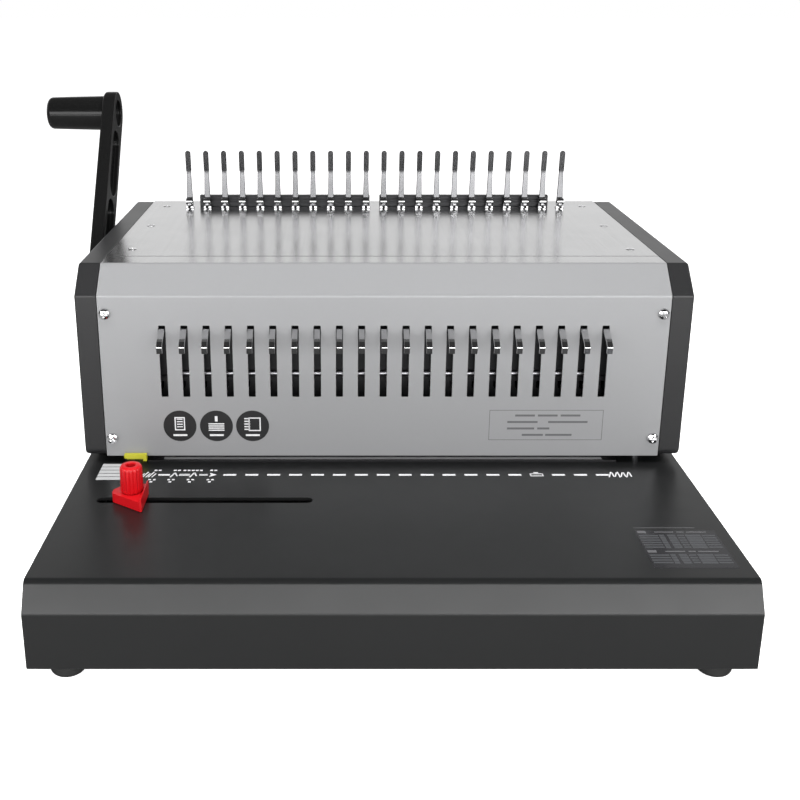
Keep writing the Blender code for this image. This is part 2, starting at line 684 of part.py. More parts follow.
def depth_stop(stop):
    piece("depth_stop", stop, "zinc_steel",
          [box((-168.0, 149.5), (178.5, 181.5), (DIE_TOP + 0.4, 61.7))],
          add=[[box((-168.0 + 0.01, -163.0), (169.0, 179.5), (DIE_TOP + 0.5, 61.6))]])


def chip_drawer(drawer):
    x = (-160.0, HALF_WIDTH - 0.4)
    wall, front = 1.6, 4.0
    inside = box((x[0] + wall, x[1] - front), (DRAWER_Y[0] + wall, DRAWER_Y[1] - wall),
                 (DRAWER_Z[0] + wall, DRAWER_Z[1] + 8))
    finger_recess = box((x[1] - 2.4, x[1] + 4), (168, 196), (30, 40))
    piece("chip_drawer", drawer, "drawer_plastic", [box(x, DRAWER_Y, DRAWER_Z)],
          cut=[[inside], [finger_recess]])


# ---------------------------------------------------------------- the machine

def main():
    clear_scene()
    machine = body_empty("machine", (0, 0, 0))
    for make in (base_shell, base_plate, feet, side_panels, front_cover, top_plate, rear_cover,
                 frame_plates, shaft_bushes, cover_screws, die_plate, punch_guide, comb_finger_rack):
        make(machine)

    handle = body_empty("handle_axis", (HANDLE_INNER_X, SHAFT_Y, SHAFT_Z), machine)
    for make in (main_shaft, cams, handle_arm, handle_grip):
        make(handle)

    carriage = body_empty("punch_carriage", (0, PUNCH_Y, BAR_Z[0]), machine)
    for make in (punch_bar, keeper_rod, punch_yokes):
        make(carriage)
    for number, x in enumerate(hole_places(), 1):
        pull_body = body_empty(f"pull_axis_{number:02d}", (x, PANEL_Y, PULL_TOP_Z), carriage)
        punch_pull(number, x, pull_body)

    opener = body_empty("opener_carriage", (0, FINGER_Y, TOP_Z), machine)
    opener_slide(opener)
    opener_rails(opener)

    guide = body_empty("edge_guide_slide", (GUIDE_X, GUIDE_SLOT_Y, TABLE_Z), machine)
    edge_guide(guide)
    guide_knob(body_empty("guide_knob_axis", (GUIDE_X, GUIDE_SLOT_Y, KNOB_Z[0]), guide))
    margin_tab(body_empty("margin_tab_slide", (TAB_X[0], PANEL_Y, TABLE_Z), machine))
    depth_stop(body_empty("depth_stop_slide", (0, 180, TABLE_Z), machine))
    chip_drawer(body_empty("chip_drawer_slide", (HALF_WIDTH, DRAWER_Y[0], DRAWER_Z[0]), machine))


main()
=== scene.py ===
"""Looks of a comb binding machine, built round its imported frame.

Sizes are millimetres in the machine frame: X to the operator's right, Y back from the front face of the base
and Z up from the floor. The Workshop turns them into the frame's metres when a piece is dressed.
"""

import json
import logging
import math
from collections.abc import Callable, Sequence
from dataclasses import dataclass
from enum import Enum

import bmesh
import bpy
from mathutils import Matrix, Vector

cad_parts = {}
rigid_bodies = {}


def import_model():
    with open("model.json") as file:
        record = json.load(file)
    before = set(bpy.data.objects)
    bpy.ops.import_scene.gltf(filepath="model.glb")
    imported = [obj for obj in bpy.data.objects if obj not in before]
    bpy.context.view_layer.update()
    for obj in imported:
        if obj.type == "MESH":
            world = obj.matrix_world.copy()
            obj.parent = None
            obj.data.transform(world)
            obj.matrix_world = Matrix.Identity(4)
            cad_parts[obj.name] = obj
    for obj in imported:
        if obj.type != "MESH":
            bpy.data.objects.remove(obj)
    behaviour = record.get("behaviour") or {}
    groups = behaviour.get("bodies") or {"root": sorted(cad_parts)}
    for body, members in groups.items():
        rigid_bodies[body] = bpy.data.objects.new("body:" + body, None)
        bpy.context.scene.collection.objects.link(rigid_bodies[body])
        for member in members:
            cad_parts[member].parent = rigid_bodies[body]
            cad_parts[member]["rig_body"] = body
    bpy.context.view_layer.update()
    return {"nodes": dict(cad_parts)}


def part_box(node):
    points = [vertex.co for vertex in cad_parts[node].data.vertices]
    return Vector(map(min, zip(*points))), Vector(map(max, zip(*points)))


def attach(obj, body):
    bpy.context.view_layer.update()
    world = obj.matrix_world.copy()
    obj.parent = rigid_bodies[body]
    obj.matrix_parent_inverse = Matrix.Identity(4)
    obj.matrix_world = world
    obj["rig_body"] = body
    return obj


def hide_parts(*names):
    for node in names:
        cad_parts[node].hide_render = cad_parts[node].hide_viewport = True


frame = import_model()

MM = 0.001
PITCH = 14.2875  # hole pitch of plastic combs
HOLES = 21
log = logging.getLogger("comb_binder")

Point2 = tuple[float, float]
Point3 = tuple[float, float, float]
Colour = tuple[float, float, float]
Shape = tuple[list[Point3], list[tuple[int, ...]]]


class Axis(Enum):
    """The machine axis that an outline is drawn out along."""

    X = "x"
    Y = "y"
    Z = "z"


# ---------------------------------------------------------------- outlines and shapes


def arc(centre: Point2, radius: float, start: float, end: float, steps: int) -> list[Point2]:
    """Points of an arc.

    Args:
        centre: Its centre.
        radius: Its radius.
        start: First angle, in degrees.
        end: Last angle, in degrees.
        steps: Number of chords.

    Returns:
        The points, both ends included.
    """
    angles = [math.radians(start + (end - start) * i / steps) for i in range(steps + 1)]
    return [(centre[0] + radius * math.cos(a), centre[1] + radius * math.sin(a)) for a in angles]


def circle(centre: Point2, radius: float, sides: int) -> list[Point2]:
    """A round outline of that many sides."""
    return arc(centre, radius, 0, 360, sides)[:-1]


def capsule(start: Point2, end: Point2, half_width: float, steps: int = 10) -> list[Point2]:
    """The outline of a long hole whose length runs along the first coordinate."""
    return arc(end, half_width, -90, 90, steps) + arc(start, half_width, 90, 270, steps)


def rounded(points: Sequence[Point2], radii: Sequence[float], steps: int = 6,
            closed: bool = True) -> list[Point2]:
    """Rounds the corners of an outline or of an open path.

    Args:
        points: The corners.
        radii: The radius at each corner; 0 keeps it sharp.
        steps: Chords in each rounding.
        closed: Whether the last point joins the first.

    Returns:
        The points of the rounded line.
    """
    out: list[Point2] = []
    count = len(points)
    for i, (point, radius) in enumerate(zip(points, radii)):
        if radius <= 0 or (not closed and i in (0, count - 1)):
            out.append((point[0], point[1]))
            continue
        corner = Vector(point)
        to_last = (Vector(points[i - 1]) - corner).normalized()
        to_next = (Vector(points[(i + 1) % count]) - corner).normalized()
        half = to_last.angle(to_next) / 2
        reach = radius / math.tan(half)
        middle = corner + (to_last + to_next).normalized() * (radius / math.sin(half))
        start = corner + to_last * reach - middle
        turn = -start.angle_signed(corner + to_next * reach - middle)
        for step in range(steps + 1):
            spoke = Matrix.Rotation(turn * step / steps, 2) @ start
            out.append((middle.x + spoke.x, middle.y + spoke.y))
    return out


def shifted(points: Sequence[Point2], distance: float) -> list[Point2]:
    """An open path moved to its left by the distance, with mitred corners.

    Args:
        points: The path.
        distance: How far to its left it moves.

    Returns:
        The moved path, with as many points.
    """
    corners = [Vector(p) for p in points]
    out: list[Point2] = []
    for i, corner in enumerate(corners):
        before = (corner - corners[i - 1]).normalized() if i else (corners[1] - corner).normalized()
        after = (corners[i + 1] - corner).normalized() if i + 1 < len(corners) else before
        left_before, left_after = Vector((-before.y, before.x)), Vector((-after.y, after.x))
        bisector = (left_before + left_after).normalized()
        moved = corner + bisector * (distance / bisector.dot(left_after))
        out.append((moved.x, moved.y))
    return out


def strip(path: Sequence[Point2], thickness: float) -> list[Point2]:
    """The outline of a bent strip: the path, and the path moved to its right by the thickness."""
    return list(path) + shifted(path, -thickness)[::-1]


def place(axis: Axis, along: float, point: Point2) -> Point3:
    """A point from its place along an axis and its two other coordinates, in X, Y, Z order."""
    u, v = point
    return {Axis.X: (along, u, v), Axis.Y: (u, along, v), Axis.Z: (u, v, along)}[axis]


def loft(rings: Sequence[Sequence[Point3]]) -> Shape:
    """A closed shape through rings of equal length, with its first and last ring capped.

    Args:
        rings: The rings, each with as many points as the first.

    Returns:
        The points and faces of the shape.
    """
    count = len(rings[0])
    points = [tuple(p) for ring in rings for p in ring]
    last = len(points) - 1
    faces: list[tuple[int, ...]] = [tuple(range(count)), tuple(range(last, last - count, -1))]
    for level in range(len(rings) - 1):
        first = level * count
        for i in range(count):
            after = (i + 1) % count
            faces.append((first + i, first + count + i, first + count + after, first + after))
    return points, faces


def prism(axis: Axis, outline: Sequence[Point2], low: float, high: float) -> Shape:
    """The outline drawn out along an axis from low to high."""
    return loft([[place(axis, level, p) for p in outline] for level in (low, high)])


def block(x: Point2, y: Point2, z: Point2) -> Shape:
    """A box from its three ranges."""
    return prism(Axis.Z, [(x[0], y[0]), (x[1], y[0]), (x[1], y[1]), (x[0], y[1])], z[0], z[1])


def turned(axis: Axis, centre: Point2, profile: Sequence[Point2], sides: int = 48) -> Shape:
    """A turned shape.

    Args:
        axis: The axis it is turned about.
        centre: Where that axis stands in the other two coordinates.
        profile: (place along the axis, radius) from one end to the other.
        sides: Facets round the shape.

    Returns:
        The closed shape.
    """
    return loft([[place(axis, along, p) for p in circle(centre, radius, sides)] for along, radius in profile])


def rod(axis: Axis, centre: Point2, radius: float, low: float, high: float, sides: int = 48) -> Shape:
    """A plain cylinder."""
    return turned(axis, centre, [(low, radius), (high, radius)], sides)


def hole_places() -> list[float]:
    """X of every punched hole, left to right."""
    return [(i - (HOLES - 1) / 2) * PITCH for i in range(HOLES)]


# ---------------------------------------------------------------- shader groups


class Sheet:
    """A node tree in the making, with short ways to add and join nodes."""

    def __init__(self, tree: bpy.types.NodeTree) -> None:
        """Keeps the tree."""
        self.tree = tree

    def node(self, kind: str, values: dict[str | int, object] | None = None,
             **settings: object) -> bpy.types.Node:
        """Adds a node.

        Args:
            kind: Its type.
            values: Input name or number to a constant, or to the socket that feeds it.
            settings: The node's own properties.

        Returns:
            The node.
        """
        made = self.tree.nodes.new(kind)
        for key, value in settings.items():
            setattr(made, key, value)
        for key, value in (values or {}).items():
            if isinstance(value, bpy.types.NodeSocket):
                self.tree.links.new(value, made.inputs[key])
            else:
                made.inputs[key].default_value = value
        return made

    def math(self, operation: str, *values: object) -> bpy.types.NodeSocket:
        """The result of a Math node."""
        return self.node("ShaderNodeMath", dict(enumerate(values)), operation=operation).outputs[0]

    def join(self, source: bpy.types.NodeSocket, target: bpy.types.NodeSocket) -> None:
        """Links two sockets."""
        self.tree.links.new(source, target)


class SurfaceEffect(Enum):
    """The shared effects; each value is the name of its shader group."""

    GRAIN = "fine_grain"
    DRIFT = "tone_drift"
    MARKS = "handling_marks"
    LINES = "polishing_lines"
    WEAR = "rubbed_edges"


SOCKETS = {"value": "NodeSocketFloat", "vector": "NodeSocketVector", "colour": "NodeSocketColor"}


def new_group(
    effect: SurfaceEffect, inputs: dict[str, str], outputs: dict[str, str]
) -> tuple[bpy.types.ShaderNodeTree, Sheet, bpy.types.Node, bpy.types.Node]:
    """Starts a shader group.

    Args:
        effect: Which effect it is.
        inputs: Name to kind of each input.
        outputs: Name to kind of each output.

    Returns:
        The tree, its sheet, and its input and output nodes.
    """
    tree = bpy.data.node_groups.new(effect.value, "ShaderNodeTree")
    for name, kind in inputs.items():
        tree.interface.new_socket(name=name, in_out="INPUT", socket_type=SOCKETS[kind])
    for name, kind in outputs.items():
        tree.interface.new_socket(name=name, in_out="OUTPUT", socket_type=SOCKETS[kind])
    sheet = Sheet(tree)
    return tree, sheet, sheet.node("NodeGroupInput"), sheet.node("NodeGroupOutput")


def grain_group() -> bpy.types.ShaderNodeTree:
    """Two sizes of fine noise as a height, as powder coat and moulded grain have."""
    tree, sheet, given, out = new_group(
        SurfaceEffect.GRAIN, {"Place": "vector", "Scale": "value"}, {"Height": "value"}
    )
    fine = sheet.node("ShaderNodeTexNoise", {
        "Vector": given.outputs["Place"], "Scale": given.outputs["Scale"], "Detail": 3.0, "Roughness": 0.6})
    coarse_scale = sheet.math("MULTIPLY", given.outputs["Scale"], 0.23)
    coarse = sheet.node("ShaderNodeTexVoronoi", {"Vector": given.outputs["Place"], "Scale": coarse_scale},
                        feature="SMOOTH_F1")
    both = sheet.math("MULTIPLY_ADD", coarse.outputs["Distance"], 0.45, fine.outputs[0])
    sheet.join(both, out.inputs["Height"])
    return tree


def drift_group() -> bpy.types.ShaderNodeTree:
    """Slow change of a colour over a surface, with a little fine mottle."""
    tree, sheet, given, out = new_group(
        SurfaceEffect.DRIFT, {"Place": "vector", "Colour": "colour", "Amount": "value", "Scale": "value"},
        {"Colour": "colour"},
    )
    broad = sheet.node("ShaderNodeTexNoise", {
        "Vector": given.outputs["Place"], "Scale": given.outputs["Scale"], "Detail": 2.0})
    mottle_scale = sheet.math("MULTIPLY", given.outputs["Scale"], 60.0)
    mottle = sheet.node("ShaderNodeTexNoise", {"Vector": given.outputs["Place"], "Scale": mottle_scale,
                                               "Detail": 2.0})
    mixed = sheet.math("MULTIPLY_ADD", mottle.outputs[0], 0.35, broad.outputs[0])
    centred = sheet.math("SUBTRACT", mixed, 0.675)
    factor = sheet.math("MULTIPLY_ADD", centred, given.outputs["Amount"], 1.0)
    scaled = sheet.node("ShaderNodeVectorMath", {0: given.outputs["Colour"]}, operation="SCALE")
    sheet.join(factor, scaled.inputs["Scale"])
    sheet.join(scaled.outputs[0], out.inputs["Colour"])
    return tree


def marks_group() -> bpy.types.ShaderNodeTree:
    """Roughness that changes where hands have wiped the surface."""
    tree, sheet, given, out = new_group(
        SurfaceEffect.MARKS, {"Place": "vector", "Roughness": "value", "Amount": "value"},
        {"Roughness": "value"}
    )
    smears = sheet.node("ShaderNodeTexNoise", {"Vector": given.outputs["Place"], "Scale": 26.0, "Detail": 5.0,
                                               "Distortion": 1.4})
    centred = sheet.math("SUBTRACT", smears.outputs[0], 0.5)
    moved = sheet.math("MULTIPLY_ADD", centred, given.outputs["Amount"], given.outputs["Roughness"])
    sheet.join(sheet.math("MAXIMUM", moved, 0.02), out.inputs["Roughness"])
    return tree


def lines_group() -> bpy.types.ShaderNodeTree:
    """Very long thin noise, for sheet that was brushed or polished one way."""
    tree, sheet, given, out = new_group(
        SurfaceEffect.LINES, {"Place": "vector", "Stretch": "vector"}, {"Lines": "value"}
    )
    drawn = sheet.node("ShaderNodeVectorMath", {0: given.outputs["Place"], 1: given.outputs["Stretch"]},
                       operation="MULTIPLY")
    noise = sheet.node("ShaderNodeTexNoise", {"Vector": drawn.outputs[0], "Scale": 1.0, "Detail": 4.0,
                                              "Roughness": 0.7})
    sheet.join(noise.outputs[0], out.inputs["Lines"])
    return tree


def wear_group() -> bpy.types.ShaderNodeTree:
    """A mask along the edges, broken up by noise, where a finish is rubbed."""
    tree, sheet, given, out = new_group(
        SurfaceEffect.WEAR, {"Place": "vector", "Width": "value"}, {"Mask": "value"}
    )
    soft = sheet.node("ShaderNodeBevel", {"Radius": given.outputs["Width"]}, samples=3)
    sharp = sheet.node("ShaderNodeNewGeometry")
    same = sheet.node("ShaderNodeVectorMath", {0: soft.outputs[0], 1: sharp.outputs["Normal"]},
                      operation="DOT_PRODUCT")
    turned_away = sheet.math("SUBTRACT", 1.0, same.outputs["Value"])
    broken = sheet.node("ShaderNodeTexNoise", {"Vector": given.outputs["Place"], "Scale": 180.0,
                                               "Detail": 3.0})
    mask = sheet.math("MULTIPLY", sheet.math("MULTIPLY", turned_away, 5.0), broken.outputs[0])
    sheet.join(sheet.math("MINIMUM", mask, 1.0), out.inputs["Mask"])
    return tree


GROUP_BUILDERS: dict[SurfaceEffect, Callable[[], bpy.types.ShaderNodeTree]] = {
    SurfaceEffect.GRAIN: grain_group,
    SurfaceEffect.DRIFT: drift_group,
    SurfaceEffect.MARKS: marks_group,
    SurfaceEffect.LINES: lines_group,
    SurfaceEffect.WEAR: wear_group,
}


def effect_group(effect: SurfaceEffect) -> bpy.types.ShaderNodeTree:
    """The shared group of an effect, built the first time it is asked for."""
    return bpy.data.node_groups.get(effect.value) or GROUP_BUILDERS[effect]()


# ---------------------------------------------------------------- finishes


@dataclass(frozen=True)
class Finish:
    """A finish and the numbers that make it up.

    Args:
        name: The material's name.
        colour: Base colour, linear.
        roughness: Mean roughness.
        metallic: 0 for paint and plastic, 1 for bare metal.
        specular: Strength of the plain reflection.
        coat: Weight of a clear top layer.
        grain: Noise cells per metre of the fine relief.
        relief: Its height, in millimetres.
        drift: How much the colour wanders.
        marks: How much the roughness wanders.
        brushing: Stretch of the polishing lines, or None.
        brush_depth: Share of the lines in the roughness.
        wear: How far rubbed edges lighten.
    """

    name: str
    colour: Colour
    roughness: float
    metallic: float = 0.0
    specular: float = 0.5
    coat: float = 0.0
    grain: float = 1500.0
    relief: float = 0.01
    drift: float = 0.12
    marks: float = 0.06
    brushing: Point3 | None = None
    brush_depth: float = 0.1
    wear: float = 0.0

    def material(self) -> bpy.types.Material:
        """The material, built the first time it is asked for."""
        found = bpy.data.materials.get(self.name)
        if found:
            return found
        made = bpy.data.materials.new(self.name)
        made.use_nodes = True
        made.diffuse_color = (*self.colour, 1.0)
        sheet = Sheet(made.node_tree)
        shader = made.node_tree.nodes["Principled BSDF"]
        shader.inputs["Metallic"].default_value = self.metallic
        shader.inputs["Specular IOR Level"].default_value = self.specular
        shader.inputs["Coat Weight"].default_value = self.coat
        shader.inputs["Coat Roughness"].default_value = 0.06
        place_socket = sheet.node("ShaderNodeTexCoord").outputs["Object"]
        sheet.join(self._colour(sheet, place_socket), shader.inputs["Base Color"])
        sheet.join(self._roughness(sheet, place_socket), shader.inputs["Roughness"])
        sheet.join(self._normal(sheet, place_socket), shader.inputs["Normal"])
        return made

    def _group(self, sheet: Sheet, effect: SurfaceEffect, values: dict[str, object]) -> bpy.types.Node:
        """Places a shared group in the material."""
        made = sheet.tree.nodes.new("ShaderNodeGroup")
        made.node_tree = effect_group(effect)
        for key, value in values.items():
            if isinstance(value, bpy.types.NodeSocket):
                sheet.join(value, made.inputs[key])
            else:
                made.inputs[key].default_value = value
        return made

    def _colour(self, sheet: Sheet, place_socket: bpy.types.NodeSocket) -> bpy.types.NodeSocket:
        """Colour with its drift and, where there is wear, lighter edges."""
        drift = self._group(sheet, SurfaceEffect.DRIFT, {
            "Place": place_socket, "Colour": (*self.colour, 1.0), "Amount": self.drift, "Scale": 7.0})
        if not self.wear:
            return drift.outputs["Colour"]
        wear = self._group(sheet, SurfaceEffect.WEAR, {"Place": place_socket, "Width": 0.5 * MM})
        lighter = tuple(min(1.0, c * 2.2 + 0.03) for c in self.colour)
        factor = sheet.math("MULTIPLY", wear.outputs["Mask"], self.wear)
        mix = sheet.node("ShaderNodeMix", {0: factor, 6: drift.outputs["Colour"], 7: (*lighter, 1.0)},
                         data_type="RGBA")
        return mix.outputs[2]

    def _roughness(self, sheet: Sheet, place_socket: bpy.types.NodeSocket) -> bpy.types.NodeSocket:
        """Roughness with handling marks and polishing lines."""
        marks = self._group(sheet, SurfaceEffect.MARKS, {
            "Place": place_socket, "Roughness": self.roughness, "Amount": self.marks})
        if self.brushing is None:
            return marks.outputs["Roughness"]
        lines = self._group(sheet, SurfaceEffect.LINES, {"Place": place_socket, "Stretch": self.brushing})
        centred = sheet.math("SUBTRACT", lines.outputs["Lines"], 0.5)
        return sheet.math("MULTIPLY_ADD", centred, self.brush_depth, marks.outputs["Roughness"])

    def _normal(self, sheet: Sheet, place_socket: bpy.types.NodeSocket) -> bpy.types.NodeSocket:
        """The fine relief as a normal."""
        grain = self._group(sheet, SurfaceEffect.GRAIN, {"Place": place_socket, "Scale": self.grain})
        bump = sheet.node("ShaderNodeBump", {"Strength": 1.0, "Distance": self.relief * MM,
                                             "Height": grain.outputs["Height"]})
        return bump.outputs[0]


class Slot(Enum):
    """The record's material slots, each with its finish."""

    base_paint = Finish("charcoal_powder_coat", (0.0085, 0.0088, 0.009), 0.34, specular=0.5, grain=1300.0,
                        relief=0.01, drift=0.25, marks=0.08, wear=0.25)
    black_housing = Finish("charcoal_end_panel", (0.018, 0.018, 0.0188), 0.36, specular=0.5, grain=1900.0,
                           relief=0.01, drift=0.14, wear=0.2)
    silver_paint = Finish("silver_satin_paint", (0.29, 0.292, 0.298), 0.42, metallic=0.3, grain=3200.0,
                          relief=0.004, drift=0.07, marks=0.05)
    polished_steel = Finish("mirror_polished_sheet", (0.58, 0.58, 0.585), 0.21, metallic=1.0, grain=900.0,
                            relief=0.0006, drift=0.06, marks=0.07, brushing=(900.0, 6.0, 60.0),
                            brush_depth=0.1)
    zinc_steel = Finish("zinc_plated_steel", (0.47, 0.47, 0.49), 0.33, metallic=1.0, grain=700.0,
                        relief=0.006, drift=0.25, marks=0.2, brushing=(40.0, 900.0, 900.0), brush_depth=0.2)
    brass = Finish("turned_bush_brass", (0.58, 0.4, 0.16), 0.32, metallic=1.0, grain=900.0, relief=0.004,
                   drift=0.2, marks=0.15)
    chrome = Finish("bright_chrome_plate", (0.78, 0.78, 0.79), 0.06, metallic=1.0, grain=1200.0,
                    relief=0.0008, drift=0.08, marks=0.06)
    gloss_black = Finish("gloss_black_lacquer", (0.007, 0.007, 0.007), 0.16, specular=0.3, grain=600.0,
                         relief=0.003, drift=0.3, marks=0.06)
    dark_steel = Finish("black_oxide_steel", (0.03, 0.03, 0.032), 0.36, metallic=0.6, grain=1200.0,
                        relief=0.006, drift=0.35, marks=0.16, brushing=(30.0, 800.0, 800.0),
                        brush_depth=0.15, wear=0.3)
    red_plastic = Finish("signal_red_plastic", (0.5, 0.005, 0.009), 0.3, specular=0.45, grain=900.0,
                         relief=0.006, drift=0.12, marks=0.08)
    yellow_plastic = Finish("lemon_yellow_plastic", (0.42, 0.4, 0.02), 0.42, grain=900.0, relief=0.006)
    rubber = Finish("foot_rubber", (0.018, 0.018, 0.018), 0.78, specular=0.3, grain=1600.0, relief=0.03,
                    drift=0.3)
    drawer_plastic = Finish("matt_drawer_plastic", (0.03, 0.03, 0.031), 0.55, grain=1500.0, relief=0.02)


WHITE_INK = Finish("white_screen_print", (0.66, 0.66, 0.67), 0.5, grain=2500.0, relief=0.004, drift=0.2)
PALE_INK = Finish("pale_screen_print", (0.46, 0.465, 0.47), 0.5, grain=2500.0, relief=0.004, drift=0.2)
GREY_INK = Finish("grey_screen_print", (0.05, 0.052, 0.056), 0.45, grain=2500.0, relief=0.003, drift=0.3)
BLACK_INK = Finish("black_screen_print", (0.009, 0.009, 0.01), 0.42, grain=2500.0, relief=0.003, drift=0.3)
THIN_INK = Finish("worn_black_print", (0.1, 0.1, 0.105), 0.45, grain=2500.0, relief=0.003, drift=0.3)
# Painted reflection: this chrome is made dark to stand in for the dark surroundings the comb fingers reflect,
# not for wear. Its drift and marks are random tone.
RACK_CHROME_DARK_REFLECTION = Finish("worn_rack_chrome", (0.18, 0.18, 0.185), 0.14, metallic=1.0, grain=900.0, relief=0.003,
                     drift=0.25, marks=0.12)
# Painted highlight: pale matt steel whose light colour stands in for the glint along the die's edge, not a
# ground finish.
PAINTED_HIGHLIGHT_STEEL = Finish("ground_die_steel", (0.55, 0.55, 0.56), 0.5, metallic=0.2, grain=900.0, relief=0.004)
LABEL_FILM = Finish("dark_label_film", (0.02, 0.02, 0.022), 0.22, specular=0.35, grain=400.0, relief=0.004)


# ---------------------------------------------------------------- solids and the workshop


def settle(body: bpy.types.Object) -> None:
    """Turns an object's modifiers into its plain mesh."""
    graph = bpy.context.evaluated_depsgraph_get()
    mesh = bpy.data.meshes.new_from_object(body.evaluated_get(graph))
    body.modifiers.clear()
    old = body.data
    body.data = mesh
    bpy.data.meshes.remove(old)


def tidy_mesh(mesh: bpy.types.Mesh, merge: float, flat_angle: float = 0.5) -> None:
    """Merges doubles and dissolves edges inside flat areas.

    Args:
        mesh: The mesh.
        merge: Distance under which points become one, in the mesh's own units.
        flat_angle: Faces that meet at less than this many degrees are one flat area.
    """
    shape = bmesh.new()
    shape.from_mesh(mesh)
    bmesh.ops.remove_doubles(shape, verts=shape.verts, dist=merge)
    bmesh.ops.dissolve_limit(shape, angle_limit=math.radians(flat_angle), verts=shape.verts,
                             edges=shape.edges)
    bmesh.ops.recalc_face_normals(shape, faces=shape.faces)
    shape.to_mesh(mesh)
    shape.free()


class Solid:
    """A closed shape in machine millimetres that can be joined, cut and softened."""

    def __init__(self, shapes: Sequence[Shape]) -> None:
        """Makes a working object from one or more closed shapes."""
        shape = bmesh.new()
        for points, faces in shapes:
            corners = [shape.verts.new(p) for p in points]
            for face in faces:
                shape.faces.new([corners[i] for i in face])
        bmesh.ops.recalc_face_normals(shape, faces=shape.faces)
        mesh = bpy.data.meshes.new("work")
        shape.to_mesh(mesh)
        shape.free()
        self.body = bpy.data.objects.new("work", mesh)
        bpy.context.scene.collection.objects.link(self.body)

    def _boolean(self, shapes: Sequence[Shape], operation: str) -> "Solid":
        """Joins or cuts with the shapes."""
        helper = Solid(shapes)
        modifier = self.body.modifiers.new(operation, "BOOLEAN")
        modifier.operation = operation
        modifier.solver = "EXACT"
        modifier.object = helper.body
        settle(self.body)
        bpy.data.objects.remove(helper.body)
        return self

    def add(self, shapes: Sequence[Shape]) -> "Solid":
        """Joins the shapes to the solid."""
        return self._boolean(shapes, "UNION")

    def cut(self, shapes: Sequence[Shape]) -> "Solid":
        """Cuts the shapes out of the solid."""
        return self._boolean(shapes, "DIFFERENCE")

    def round_edges(self, chosen: Callable[[Vector, Vector], bool], width: float, segments: int) -> "Solid":
        """Rounds some edges.

        Args:
            chosen: Says from an edge's two ends whether it is rounded.
            width: Width of the round.
            segments: Faces across it.

        Returns:
            This solid.
        """
        shape = bmesh.new()
        shape.from_mesh(self.body.data)
        picked = [edge for edge in shape.edges if chosen(edge.verts[0].co, edge.verts[1].co)]
        bmesh.ops.bevel(shape, geom=picked, offset=width, segments=segments, profile=0.5, affect="EDGES",
                        clamp_overlap=True)
        shape.to_mesh(self.body.data)
        shape.free()
        return self

    def soften(self, width: float = 0.3, segments: int = 2, angle: float = 32.0) -> "Solid":
        """Breaks every sharp edge with a small round, and keeps flat faces flat to the light."""
        tidy_mesh(self.body.data, merge=0.002)
        soften(self.body, width, segments, angle)
        return self


def soften(body: bpy.types.Object, width: float, segments: int, angle: float) -> None:
    """Small rounds on an object's sharp edges, with weighted normals, as a plain mesh."""
    body.data.shade_smooth()
    bevel = body.modifiers.new("soft_edges", "BEVEL")
    bevel.limit_method = "ANGLE"
    bevel.angle_limit = math.radians(angle)
    bevel.width = width
    bevel.segments = segments
    bevel.use_clamp_overlap = True
    normals = body.modifiers.new("flat_faces", "WEIGHTED_NORMAL")
    normals.keep_sharp = True
    normals.weight = 60
    settle(body)


@dataclass(frozen=True)
class Workshop:
    """Turns solids into finished pieces on the frame's bodies.

    Args:
        origin: World place, in metres, of the machine frame's zero point.
    """

    origin: Point3

    @classmethod
    def from_frame(cls) -> "Workshop":
        """A workshop whose zero point is worked out from the base in the frame."""
        low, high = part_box("base_shell")
        return cls(((low.x + high.x) / 2, low.y, 0.0))

    @property
    def to_world(self) -> Matrix:
        """The matrix from machine millimetres to frame metres."""
        return Matrix.Translation(self.origin) @ Matrix.Diagonal((MM, MM, MM, 1.0))

    def dress(self, solid: Solid, name: str, finish: Slot | Finish, body: str, replaces: Sequence[str] = (),
              extra: Finish | None = None, look: Finish | None = None) -> bpy.types.Object:
        """Names a solid, moves it to its place, and gives it its finish and its body.

        Args:
            solid: The solid in machine millimetres.
            name: The piece's name.
            finish: A record slot, or a finish of its own for prints.
            body: The frame body it moves with.
            replaces: The frame nodes it stands for.
            extra: A second finish, for faces with material index 1.
            look: A variant that is shown in place of the slot's own finish.

        Returns:
            The finished piece.
        """
        made = solid.body
        made.name = name
        made.data.name = name
        made.data.transform(self.to_world)
        if made.data.materials:
            made.data.materials.clear()
        main_finish = look or (finish.value if isinstance(finish, Slot) else finish)
        made.data.materials.append(main_finish.material())
        if extra:
            made.data.materials.append(extra.material())
        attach(made, body)
        if replaces:
            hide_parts(*replaces)
        log.info("%s: %d faces on %s", name, len(made.data.polygons), body)
        return made

    def refine(self, node: str, slot: Slot, width: float = 0.25, segments: int = 2) -> bpy.types.Object:
        """Stands a softened copy in for a frame node whose shape is already right.

        Args:
            node: The frame node.
            slot: Its finish.
            width: Edge round, in millimetres.
            segments: Faces across each round.

        Returns:
            The finished piece.
        """
        source = frame["nodes"][node]
        mesh = source.data.copy()
        made = bpy.data.objects.new(f"{node}_finished", mesh)
        bpy.context.scene.collection.objects.link(made)
        tidy_mesh(mesh, merge=0.002 * MM)
        soften(made, width * MM, segments, 32.0)
        made.data.name = made.name
        made.data.materials.clear()
        made.data.materials.append(slot.value.material())
        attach(made, source["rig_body"])
        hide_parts(node)
        return made


# ---------------------------------------------------------------- repeated parts


